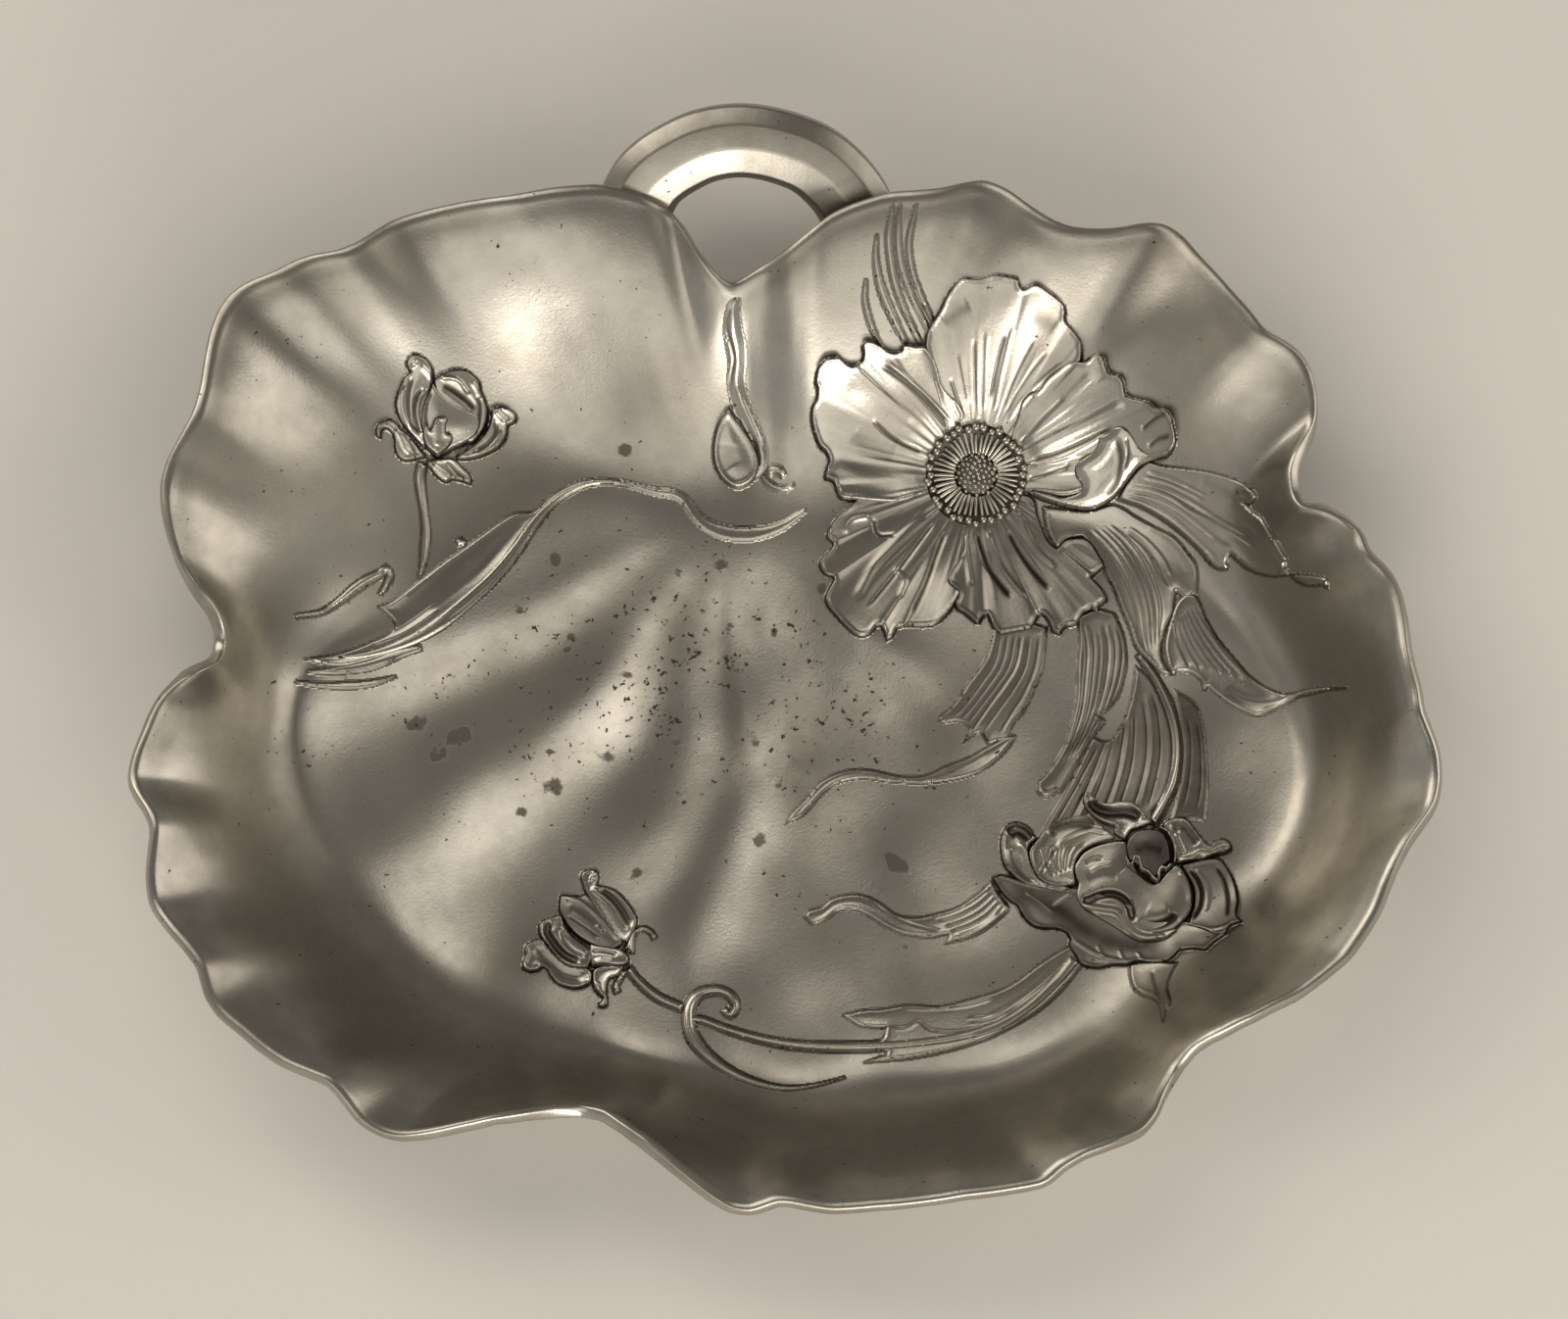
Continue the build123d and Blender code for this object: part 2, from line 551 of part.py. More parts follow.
# The open poppy: petals round a boss, a ring of stamens and a ring of anthers
with BuildSketch() as corolla:
    with BuildLine():
        draw(corolla_px)
    make_face()
    with BuildLine():
        Spline(*[on_bowl(point) for point in circle_px(flower_middle_px, flower_ring_px, 24)], periodic=True)
    make_face(mode=Mode.SUBTRACT)
    for seam in petal_seams_px:
        with BuildLine():
            draw([seam])
        trace(line_width=seam_gap, mode=Mode.SUBTRACT)
flower_middle = on_bowl(flower_middle_px)


def turn_about_flower(face):
    middle = face.center()
    return np.arctan2(middle.Y - flower_middle[1], middle.X - flower_middle[0])


petal_faces = corolla.faces().sort_by(SortBy.AREA)[-len(petal_names):]
for name, petal_face in zip(petal_names, sorted(petal_faces, key=turn_about_flower)):
    with BuildPart() as petal:
        extrude(petal_face, amount=blank_height)
        lay_on_bowl(petal, even(petal_rise))
    pieces[f"poppy_petal_{name}"] = petal

pieces["poppy_boss"] = relief([closed_px(flower_middle_px, boss_px)], dome(boss_rise, flower_middle_px, boss_px))
with BuildPart() as stamens:
    with BuildSketch():
        with BuildLine():
            draw([closed_px(flower_middle_px, stamen_outer_px)])
        make_face()
        with BuildLine():
            draw([closed_px(flower_middle_px, stamen_inner_px)])
        make_face(mode=Mode.SUBTRACT)
    extrude(amount=blank_height)
    lay_on_bowl(stamens, even(stamen_rise))
pieces["poppy_stamens"] = stamens
with BuildPart() as anthers:
    for point in circle_px(flower_middle_px, anther_ring_px, anther_count):
        x, y = on_bowl(point)
        with Locations((x, y, float(inner_height(x, y)) + anther_lift)):
            Sphere(radius=anther_size / 2)
pieces["poppy_anthers"] = anthers

for name, stretches in leaves_px.items():
    pieces[name] = relief(stretches, even(leaf_rise))
for name, (points, width) in stems_px.items():
    pieces[name] = stem(points, width)
for name, (stretches, middle_px) in buds_px.items():
    pieces[name] = relief(stretches, dome(bud_rise, middle_px, bud_reach_px))
for name, stretches in sepals_px.items():
    pieces[name] = relief(stretches, even(leaf_rise))
for name, stretches in half_open_px.items():
    pieces[name] = relief(stretches, even(petal_rise))
pieces["half_open_seed_pod"] = relief(seed_pod_px, dome(pod_rise, seed_pod_middle_px, seed_pod_reach_px))

os.makedirs("parts", exist_ok=True)
for label, piece in pieces.items():
    piece.part.label = label
    export_step(piece.part, f"parts/{label}.step")
    print(label, piece.part.is_valid, len(piece.part.solids()), round(piece.part.volume))
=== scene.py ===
# %% [markdown]
# # A cast pewter leaf dish with poppies
#
# The dish is shaped as a ruffled lily leaf. It has a loop handle at the notch of the leaf, and poppies,
# buds and ribbon leaves in low relief inside. It is cast in pewter, brushed to a satin finish, and age has
# darkened its hollows.
#
# Everything here is worked out in millimetres from outlines drawn over the picture, then built in metres.

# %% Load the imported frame
import math
import bpy
import numpy as np
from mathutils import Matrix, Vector


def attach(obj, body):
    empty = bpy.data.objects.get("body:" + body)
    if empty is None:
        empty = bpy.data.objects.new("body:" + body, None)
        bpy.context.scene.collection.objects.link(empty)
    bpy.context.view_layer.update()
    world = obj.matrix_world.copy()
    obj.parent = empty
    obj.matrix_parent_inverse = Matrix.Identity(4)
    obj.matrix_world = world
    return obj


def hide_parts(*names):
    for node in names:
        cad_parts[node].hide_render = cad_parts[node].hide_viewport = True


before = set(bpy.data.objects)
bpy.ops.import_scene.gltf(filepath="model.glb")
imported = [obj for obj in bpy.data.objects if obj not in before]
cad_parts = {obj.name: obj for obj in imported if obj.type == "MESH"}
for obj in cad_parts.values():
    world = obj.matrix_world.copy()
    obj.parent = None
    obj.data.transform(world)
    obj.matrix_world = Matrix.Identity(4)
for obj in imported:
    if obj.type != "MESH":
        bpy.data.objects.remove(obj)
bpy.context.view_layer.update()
metres = 0.001
print("nodes in the frame:", len(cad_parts))

# %% [markdown]
# ## From the picture to the table
#
# The camera looks down at 78 degrees. A point of the picture gives its place on the table once its height
# is known. The helpers below go from picture pixels to millimetres, the same way for every piece, so that
# what is drawn over the picture lands in the right place.

# %% Picture, rim and floor edge
bowl_width = 280.0
rim_height = 36.0           # top of the rim over the table
floor_top = 2.0             # top of the floor over the table
bowl_wall = 2.4             # thickness of the casting
handle_rise = 1.0           # ridge of the handle over the rim, at its crown
handle_outer = 8.6          # from the ridge of the handle to its outer edge
leaf_left_px, leaf_right_px = 137, 1463
scale = bowl_width / (leaf_right_px - leaf_left_px)
picture_middle_px = (800, 705)
leaf_middle_px = (800, 790)
handle_crown_px = (750, 151)
view_elevation = math.radians(78)
view_rise = math.sin(view_elevation)
view_drop = math.cos(view_elevation)

rim_px = [
    (753, 293), (739, 293), (721, 273), (703, 246), (683, 210), (658, 198), (614, 187), (569, 191),
    (524, 200), (499, 203), (461, 209), (430, 216), (403, 224), (385, 235), (367, 248), (344, 258),
    (322, 260), (300, 266), (282, 277), (255, 286), (239, 295), (225, 313), (217, 336), (212, 363),
    (208, 394), (201, 421), (187, 446), (174, 468), (167, 493), (169, 520), (176, 549), (187, 578),
    (205, 601), (225, 625), (232, 645), (232, 653), (228, 671), (210, 685), (187, 696), (169, 710),
    (160, 725), (151, 748), (142, 770), (137, 793), (145, 808), (156, 824), (163, 842), (160, 864),
    (157, 891), (160, 918), (174, 938), (194, 961), (210, 983), (217, 1012), (228, 1028), (250, 1046),
    (268, 1062), (291, 1078), (317, 1089), (340, 1098), (356, 1116), (371, 1136), (389, 1147), (407, 1152),
    (434, 1150), (466, 1144), (501, 1137), (537, 1132), (569, 1127), (596, 1125), (618, 1129), (641, 1145),
    (659, 1158), (681, 1176), (703, 1194), (726, 1212), (748, 1225), (766, 1227), (793, 1218), (807, 1219),
    (847, 1226), (892, 1223), (937, 1219), (982, 1212), (1027, 1206), (1063, 1199), (1081, 1183),
    (1103, 1170), (1135, 1158), (1161, 1147), (1175, 1131), (1184, 1109), (1195, 1087), (1211, 1066),
    (1233, 1053), (1265, 1037), (1296, 1021), (1323, 1008), (1350, 988), (1372, 970), (1386, 950),
    (1402, 923), (1410, 900), (1419, 878), (1431, 855), (1444, 837), (1458, 817), (1463, 793), (1461, 766),
    (1453, 745), (1444, 725), (1442, 703), (1435, 680), (1431, 658), (1428, 627), (1422, 601), (1413, 583),
    (1402, 576), (1390, 562), (1386, 544), (1368, 529), (1350, 524), (1327, 522), (1316, 509), (1314, 484),
    (1321, 461), (1334, 444), (1342, 426), (1342, 403), (1336, 376), (1325, 358), (1307, 347), (1289, 339),
    (1274, 318), (1256, 298), (1238, 277), (1222, 260), (1206, 239), (1188, 226), (1170, 226), (1148, 233),
    (1121, 236), (1094, 235), (1072, 226), (1049, 210), (1027, 192), (1004, 182), (982, 187), (960, 193),
    (933, 195), (908, 196), (870, 208), (847, 219), (832, 232), (807, 253), (780, 273),
]
floor_edge_px = [
    (1325, 790), (1310, 718), (1230, 600), (1020, 545), (880, 560), (777, 545), (700, 530), (590, 495),
    (520, 540), (430, 620), (308, 664), (300, 700), (320, 849), (430, 960), (509, 1008), (638, 1065),
    (758, 1093), (900, 1089), (1049, 1077), (1180, 960), (1300, 878),
]
# Places where the rim dips, each with its depth as a share of the rim height, and its spread in degrees
rim_dips = [
    ((753, 293), 0.34, 6.0), ((232, 650), 0.20, 6.0), ((596, 1125), 0.18, 6.0), ((1195, 1087), 0.22, 6.0),
    ((1314, 484), 0.16, 5.0), ((430, 216), 0.06, 8.0), ((1121, 236), 0.08, 7.0), ((1350, 1000), 0.06, 7.0),
]


def seen(point_px, height):
    """Where a picture point lies across and along the table, for its height over the table."""
    across = (point_px[0] - picture_middle_px[0]) * scale
    up = (picture_middle_px[1] - point_px[1]) * scale
    return across, (up - height * view_drop) / view_rise


def rim_top(point_px):
    """Height of the rim at a picture point."""
    here = math.atan2(leaf_middle_px[1] - point_px[1], point_px[0] - leaf_middle_px[0])
    share = 1.0
    for dip_px, depth, spread in rim_dips:
        there = math.atan2(leaf_middle_px[1] - dip_px[1], dip_px[0] - leaf_middle_px[0])
        apart = math.degrees((here - there + math.pi) % (2 * math.pi) - math.pi)
        share -= depth * math.exp(-(apart / spread) ** 2)
    return rim_height * share


front_y = min(seen(point, rim_top(point))[1] for point in rim_px)
crown_y = seen(handle_crown_px, rim_height + handle_rise)[1] + handle_outer
middle_y = (front_y + crown_y) / 2


def plan(point_px, height):
    """As seen, from the frame's origin."""
    across, along = seen(point_px, height)
    return across, along - middle_y


leaf_middle = plan(leaf_middle_px, floor_top)
print("leaf middle in mm:", [round(value, 2) for value in leaf_middle])

# %% [markdown]
# ## The surface of the leaf
#
# The bowl is a rule, not a sculpture: at every angle round the leaf's middle the rim and the floor's edge
# have a distance, and the wall eases up from one to the other. The ruffles of the rim fade out down the
# wall, as they do in a leaf pressed from one sheet. Low folds run from the stalk over the floor.

# %% Rings round the leaf
ring_turn = 0.25            # degrees from one value of a ring to the next
ring = np.radians(np.arange(0, 360, ring_turn))
# How far each ring is smoothed, in degrees
rim_blur, soft_rim_blur, floor_blur = 0.55, 7.0, 5.0
ruffle_lift = -0.45         # where the rim stands out it also hangs lower


def blurred(values, width):
    """A ring of values, smoothed over a width in degrees."""
    steps = np.arange(-round(3 * width / ring_turn), round(3 * width / ring_turn) + 1)
    weights = np.exp(-0.5 * (steps * ring_turn / width) ** 2)
    return sum(weight * np.roll(values, step) for weight, step in zip(weights, steps)) / weights.sum()


def ring_of(places, values):
    """A ring of values that are known at these places."""
    angles = np.array([math.atan2(y - leaf_middle[1], x - leaf_middle[0]) for x, y in places]) % (2 * math.pi)
    order = np.argsort(angles)
    return np.interp(ring, angles[order], np.array(values)[order], period=2 * math.pi)


def from_middle(places):
    return [math.hypot(x - leaf_middle[0], y - leaf_middle[1]) for x, y in places]


rim_tops = [rim_top(point) for point in rim_px]
rim_places = [plan(point, top) for point, top in zip(rim_px, rim_tops)]
floor_places = [plan(point, floor_top) for point in floor_edge_px]
rim_ring = blurred(ring_of(rim_places, from_middle(rim_places)), rim_blur)
soft_rim_ring = blurred(rim_ring, soft_rim_blur)
floor_ring = blurred(ring_of(floor_places, from_middle(floor_places)), floor_blur)
top_ring = blurred(ring_of(rim_places, rim_tops), rim_blur)
ruffle_ring = ruffle_lift * (rim_ring - soft_rim_ring)


def at(values, angle):
    """The value of a ring at an angle."""
    return np.interp(angle, ring, values, period=2 * math.pi)


# %% Height of the inner side
fold_start_px = (752, 520)
fold_height = 0.95
# Where each fold ends, its share of the fold height, and its spread in degrees
fold_ends = [
    ((330, 690), -0.5, 7), ((340, 790), 0.6, 7), ((420, 900), -1.0, 7), ((530, 930), 0.9, 8),
    ((640, 990), -0.4, 8), ((696, 1000), 0.7, 6), ((748, 980), -0.9, 6), ((800, 980), 0.6, 6),
    ((890, 890), 0.4, 9), ((960, 730), -0.8, 7),
]
dent_count = 22
dent_slope = 0.0016         # height of a dent for each millimetre of its length
fold_sway = 3.5             # degrees by which a fold swings from side to side
fold_bare, fold_grow = 12, 50  # a fold starts this far from the stalk, and grows over the next stretch
ruffle_start = 0.35         # share of the wall where the ruffles begin
floor_corner = 0.2          # how softly the wall leaves the floor
calm_rim = 9                # the dents fade out over this distance from the rim
height_passes = 12          # enough for the height under a picture point to settle
chance = np.random.default_rng(5)
dents = list(zip(chance.uniform(0, 2 * math.pi, dent_count), chance.uniform(17, 48, dent_count),
                 chance.uniform(0, 2 * math.pi, dent_count)))


def ease(share):
    """A soft step from 0 at 0 to 1 at 1."""
    share = np.clip(share, 0, 1)
    return share * share * (3 - 2 * share)


def bell(offset, width):
    """1 where the offset is 0, falling off to both sides over the width."""
    return np.exp(-(offset / width) ** 2)


def floor_folds(x, y):
    """Low folds that spread from the stalk over the floor."""
    start = plan(fold_start_px, floor_top)
    turn = np.degrees(np.arctan2(y - start[1], x - start[0]))
    away = np.hypot(x - start[0], y - start[1])
    total = np.zeros_like(x)
    turn = turn + fold_sway * np.sin(away / 13 + 0.6)
    for end_px, share, spread in fold_ends:
        end = plan(end_px, floor_top)
        there = math.degrees(math.atan2(end[1] - start[1], end[0] - start[0]))
        apart = (turn - there + 180) % 360 - 180
        total += share * bell(apart, spread)
    return fold_height * total * ease((away - fold_bare) / fold_grow)


def hand_dents(x, y):
    """Shallow dents of two to five centimetres, which no hand-finished metal is without."""
    return sum(dent_slope * length
               * np.sin(2 * math.pi * (x * math.cos(turn) + y * math.sin(turn)) / length + phase)
               for turn, length, phase in dents)


def climb_share(x, y):
    """How far up the wall a place lies, the height of the rim there, and how far off the rim is."""
    angle = np.arctan2(y - leaf_middle[1], x - leaf_middle[0])
    radius = np.hypot(x - leaf_middle[0], y - leaf_middle[1])
    floor_radius, soft_radius = at(floor_ring, angle), at(soft_rim_ring, angle)
    up_wall = (radius - floor_radius) / (soft_radius - floor_radius)
    ruffle = ease((up_wall - ruffle_start) / (1 - ruffle_start))
    edge = soft_radius + (at(rim_ring, angle) - soft_radius) * ruffle
    share = (radius - floor_radius) / (edge - floor_radius)
    share = np.clip((share + np.sqrt(share ** 2 + floor_corner ** 2)) / 2, 0, 1)
    top = at(top_ring, angle) + at(ruffle_ring, angle) * ruffle
    return share, top, edge - radius


def leaf_height(x, y):
    """Height of the inner side over the table."""
    x, y = np.asarray(x, float), np.asarray(y, float)
    share, top, to_rim = climb_share(x, y)
    climb = 0.78 * ease(share) + 0.22 * share ** 2
    folds = floor_folds(x, y) * (1 - ease(share * 1.6)) + hand_dents(x, y) * ease(to_rim / calm_rim)
    return floor_top + (top - floor_top) * climb + folds


def on_leaf(points_px):
    """Places in plan of picture points that lie on the leaf."""
    points_px = np.asarray(points_px, float)
    across = (points_px[:, 0] - picture_middle_px[0]) * scale
    up = (picture_middle_px[1] - points_px[:, 1]) * scale
    along = up / view_rise - middle_y
    for _ in range(height_passes):
        along = (up - leaf_height(across, along) * view_drop) / view_rise - middle_y
    return np.stack([across, along], 1)


print("height at the leaf's middle:", round(float(leaf_height(*leaf_middle)), 2), "mm")

# %% [markdown]
# ## Helpers for materials and meshes
#
# Colours are written as sRGB hex values, as one reads them off a colour picker, and turned to linear ones
# once. One helper adds a node with its settings and links, so that a material reads from top to bottom.

# %% Colour and node helpers
def colour(hex_value):
    parts = [int(hex_value[i:i + 2], 16) / 255 for i in (1, 3, 5)]
    return tuple(p / 12.92 if p <= 0.04045 else ((p + 0.055) / 1.055) ** 2.4 for p in parts) + (1.0,)


def add_node(tree, kind, settings=None, inputs=None):
    """A node with its settings. An input is a value, or a socket that is linked to it."""
    node = tree.nodes.new(kind)
    for name, value in (settings or {}).items():
        setattr(node, name, value)
    for name, value in (inputs or {}).items():
        if isinstance(value, bpy.types.NodeSocket):
            tree.links.new(value, node.inputs[name])
        else:
            node.inputs[name].default_value = value
    return node


def add_ramp(tree, value, stops):
    """The output of a colour ramp over a value. A stop has its place and a colour, or a grey from 0 to 1."""
    node = add_node(tree, "ShaderNodeValToRGB", None, {"Fac": value})
    elements = node.color_ramp.elements
    while len(elements) < len(stops):
        elements.new(0.5)
    for element, (place, shade) in zip(elements, stops):
        element.position = place
        element.color = shade if isinstance(shade, tuple) else (shade, shade, shade, 1.0)
    return node.outputs["Color"]


# %% [markdown]
# ## Satin pewter, darkened with age and with painted shade
#
# Pewter is mostly tin. Cast and then brushed, it reflects softly and a little warmly. Its hollows keep a
# brown-black film that polishing doesn't reach, and its floor has small dark specks and a few grey stains.
# The same dark colour also paints shade: along the steps of the relief, under the rolled lip and on the
# handle's bevels. Each piece works out from its own shape how much film and painted shade it has, and the
# bowl also says where specks crowd and stains lie: these are the attributes "hollow", "pitted" and
# "stained". Noise in real sizes breaks them up: clouds of about 25 mm, groups of 12 mm, a film of 6 mm,
# specks of 1.6 mm and a grain of 0.7 mm.

# %% The pewter materials
def pewter(name, bright, dark, roughness):
    """bright has the two colours of the bare metal, dark is the colour of its tarnish and of the painted
    shade.
    """
    material = bpy.data.materials.new(name)
    material.use_nodes = True
    tree = material.node_tree
    tree.nodes.clear()
    place = add_node(tree, "ShaderNodeTexCoord").outputs["Object"]

    def attribute(label):
        return add_node(tree, "ShaderNodeAttribute", {"attribute_name": label}).outputs["Fac"]

    def noise(per_metre, detail, rough=0.5):
        return add_node(tree, "ShaderNodeTexNoise", None, {
            "Vector": place, "Scale": per_metre, "Detail": detail, "Roughness": rough}).outputs["Fac"]

    def scaled_plus(value, factor, added, clamp=False):
        return add_node(tree, "ShaderNodeMath", {"operation": "MULTIPLY_ADD", "use_clamp": clamp},
                        {0: value, 1: factor, 2: added}).outputs[0]

    def mixed(share, first, second):
        return add_node(tree, "ShaderNodeMix", {"data_type": "RGBA"},
                        {"Factor": share, "A": first, "B": second}).outputs["Result"]

    clouds, film_noise = noise(40.0, 4.0), noise(170.0, 6.0, 0.65)
    # Specks: small everywhere, denser in groups and on the worn middle of the floor
    grouped = scaled_plus(noise(85.0, 2.0), 0.20, noise(620.0, 4.0, 0.6))
    crowded = scaled_plus(attribute("pitted"), 0.085, grouped)
    specks = add_ramp(tree, crowded, [(0.795, 0.0), (0.825, 1.0)])
    # Stains: soft spots with an edge that the film's noise makes ragged
    ragged = scaled_plus(film_noise, 1.9, attribute("stained"))
    stains = add_ramp(tree, scaled_plus(ragged, 1.0, -1.05), [(0.40, 0.0), (0.60, 1.0)])
    spots = scaled_plus(stains, 0.75, specks, clamp=True)
    # Film and painted shade, from the attribute "hollow", and an uneven veil everywhere
    veil = scaled_plus(film_noise, 0.5, -0.14, clamp=True)
    film_and_shade = scaled_plus(attribute("hollow"), 1.0, veil, clamp=True)
    # Colour: bare metal, then the film and the painted shade, then the spots
    metal = mixed(add_ramp(tree, clouds, [(0.35, 0.0), (0.68, 1.0)]), colour(bright[0]), colour(bright[1]))
    aged_and_shaded = mixed(film_and_shade, metal, colour(dark))
    spotted = mixed(spots, aged_and_shaded, colour("#4a4339"))
    # Roughness: uneven with the clouds, and more under the film, the painted shade and the spots
    clouded = add_node(tree, "ShaderNodeMapRange", None, {
        "Value": clouds, "From Min": 0.3, "From Max": 0.7,
        "To Min": roughness - 0.05, "To Max": roughness + 0.06}).outputs["Result"]
    sheen = scaled_plus(spots, 0.3, scaled_plus(film_and_shade, 0.22, clouded, clamp=True), clamp=True)
    # Bump: a fine grain, an uneven film, and spots that are eaten in
    eaten = scaled_plus(spots, -1.2, noise(1500.0, 3.0))
    bump = add_node(tree, "ShaderNodeBump", None, {
        "Height": scaled_plus(film_noise, 0.8, eaten), "Strength": 0.2, "Distance": 0.00012})
    shader = add_node(tree, "ShaderNodeBsdfPrincipled", None, {
        "Base Color": spotted, "Metallic": 1.0, "Roughness": sheen, "Normal": bump.outputs["Normal"]})
    add_node(tree, "ShaderNodeOutputMaterial", None, {"Surface": shader.outputs["BSDF"]})
    print("material", name, "with", len(tree.nodes), "nodes")
    return material


satin_pewter = pewter("satin_cast_pewter", ("#bab5aa", "#a29c90"), "#453e35", 0.29)
chased_pewter = pewter("chased_pewter_relief", ("#bcb7ab", "#a69f93"), "#332d26", 0.25)

# %% [markdown]
# ## From arrays to a piece
#
# Each piece is worked out as arrays of places in millimetres and a list of faces. This helper makes the
# mesh, writes the attributes that the material reads, and hides the part of the frame that it stands for.

# %% Make a piece from arrays
def make_piece(name, places, faces, material, nodes, hollow, pitted=None, stained=None):
    mesh = bpy.data.meshes.new(name)
    mesh.from_pydata((np.asarray(places) * metres).tolist(), [], faces)
    mesh.polygons.foreach_set("use_smooth", [True] * len(mesh.polygons))
    # "hollow" darkens a point in the film colour, as tarnish and as painted shade alike
    for label, values in (("hollow", hollow), ("pitted", pitted), ("stained", stained)):
        values = np.zeros(len(places)) if values is None else np.asarray(values, float)
        mesh.attributes.new(label, "FLOAT", "POINT").data.foreach_set("value", values)
    mesh.materials.append(material)
    mesh.update()
    piece = bpy.data.objects.new(name, mesh)
    bpy.context.scene.collection.objects.link(piece)
    finish_piece(piece, nodes)


def finish_piece(piece, nodes):
    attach(piece, "root")
    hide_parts(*nodes)
    piece.data.calc_loop_triangles()
    print(piece.name, "triangles:", len(piece.data.loop_triangles))


def band_faces(rings, across, flipped=False):
    """Four-sided faces between rings that follow each other, each with the same number of points across."""
    here = np.arange(across)
    there = (here + 1) % across
    faces = []
    for start in range(0, (rings - 1) * across, across):
        corners = [start + here, start + across + here, start + across + there, start + there]
        if flipped:
            corners = [corners[0], *corners[:0:-1]]
        faces += np.stack(corners, 1).tolist()
    return faces


# %% [markdown]
# ## The bowl
#
# The casting is one closed skin of rings: across the floor, up the wall, over a rolled lip and down the
# outer side to the flat base. Rings suit it better than a subdivided box would, because they follow the
# ruffles and put the most points where the shape turns most, at the lip.

# %% Build the bowl
# Stains on the floor, each with its radius in pixels
stains_px = [
    ((563, 803), 15), ((460, 752), 11), ((476, 748), 9), ((445, 772), 10), ((425, 738), 11), ((532, 829), 10),
    ((613, 772), 11), ((583, 650), 8), ((578, 664), 7), ((566, 570), 8), ((528, 622), 7), ((690, 755), 8),
    ((735, 575), 9), ((693, 585), 6), ((838, 600), 7), ((770, 755), 9), ((793, 806), 6), ((912, 880), 12),
    ((925, 888), 9), ((924, 968), 7), ((648, 893), 8), ((775, 858), 9), ((690, 812), 6), ((636, 457), 9),
    ((640, 690), 7), ((745, 640), 7), ((790, 645), 6), ((1016, 850), 5), ((560, 768), 5), ((372, 700), 4),
]
worn_middle_px, worn_reach = (700, 700), (60, 32)
columns = 720               # points in a ring
floor_rings, wall_rings, lip_rings, outer_rings = 42, 55, 8, 23
lip_bulge = 0.55            # how far the rolled lip stands out over the rim
slope_step = 0.4
angles = np.linspace(0, 2 * math.pi, columns, endpoint=False)
floor_r, rim_r = at(floor_ring, angles), at(rim_ring, angles)


def leaf_slope(x, y):
    """Slope of the inner side across and along."""
    return ((leaf_height(x + slope_step, y) - leaf_height(x - slope_step, y)) / (2 * slope_step),
            (leaf_height(x, y + slope_step) - leaf_height(x, y - slope_step)) / (2 * slope_step))


def ring_places(radii):
    return leaf_middle[0] + radii * np.cos(angles), leaf_middle[1] + radii * np.sin(angles)


def lip_directions():
    """At each point of the rim: straight down through the casting, and away over the rim."""
    slope_x, slope_y = leaf_slope(*ring_places(rim_r - 0.5))
    root = np.sqrt(1 + slope_x ** 2 + slope_y ** 2)
    down = np.stack([slope_x, slope_y, -np.ones(columns)], 1) / root[:, None]
    away = np.stack([np.cos(angles), np.sin(angles), np.zeros(columns)], 1)
    away -= (away * down).sum(1)[:, None] * down
    return down, away / np.linalg.norm(away, axis=1)[:, None]


def build_bowl():
    rings, film_and_shade_rings, pits, stains = [], [], [], []
    worn_middle = on_leaf([worn_middle_px])[0]
    stain_places = [(on_leaf([spot])[0], radius * scale) for spot, radius in stains_px]

    def add_ring(x, y, z, hollow):
        rings.append(np.stack([x, y, z], 1))
        film_and_shade_rings.append(hollow * np.ones(columns))
        pits.append(bell(x - worn_middle[0], worn_reach[0]) * bell(y - worn_middle[1], worn_reach[1]))
        stains.append(sum(bell(np.hypot(x - spot[0], y - spot[1]), radius) for spot, radius in stain_places))

    for share in np.linspace(0.02, 1, floor_rings) ** 0.8:
        x, y = ring_places(floor_r * share)
        add_ring(x, y, leaf_height(x, y), 0.04 * share)
    for share in np.linspace(0, 1, wall_rings + 1)[1:]:
        x, y = ring_places(floor_r + (rim_r - floor_r) * share)
        to_rim = (1 - share) * (rim_r - floor_r)
        bead = 0.30 * bell(to_rim - 1.2, 1.2)
        # Painted shade in a band under the rolled lip, and a faint darkening low on the wall
        film_and_shade = 0.14 * bell(to_rim - 4.5, 2.5) + 0.10 * bell(share - 0.15, 0.2)
        add_ring(x, y, leaf_height(x, y) + bead, film_and_shade)
    top = rings[-1]
    down, away = lip_directions()
    half = bowl_wall / 2 + 0.2
    for turn in np.linspace(0, math.pi, lip_rings + 1)[1:]:
        point = top + down * half * (1 - math.cos(turn)) + away * lip_bulge * math.sin(turn)
        add_ring(*point.T, 0.0)
    # The outer side and the base are a little darker
    for share in np.linspace(1, 0.05, outer_rings + 1)[1:]:
        x, y = ring_places(floor_r + (rim_r - floor_r) * share)
        slope_x, slope_y = leaf_slope(x, y)
        wall = bowl_wall * np.sqrt(1 + slope_x ** 2 + slope_y ** 2)
        add_ring(x, y, np.maximum(leaf_height(x, y) - wall, 0.0), 0.1)
    for share in (1.0, 0.6, 0.2):
        add_ring(*ring_places(floor_r * share), np.zeros(columns), 0.15)

    # Both ends of the skin close on a point: in the middle of the floor, and in the middle of the base
    places = np.concatenate([*rings, [[*leaf_middle, float(leaf_height(*leaf_middle))], [*leaf_middle, 0.0]]])
    faces = band_faces(len(rings), columns)
    here = np.arange(columns)
    there = (here + 1) % columns
    floor_point, last = len(places) - 2, (len(rings) - 1) * columns
    faces += np.stack([np.full(columns, floor_point), here, there], 1).tolist()
    faces += np.stack([np.full(columns, floor_point + 1), last + there, last + here], 1).tolist()
    make_piece("bowl", places, faces, satin_pewter, ["leaf_bowl"],
               np.concatenate([*film_and_shade_rings, [0.0, 0.1]]), np.concatenate([*pits, [0.3, 0.0]]),
               np.concatenate([*stains, [0.0, 0.0]]))


build_bowl()

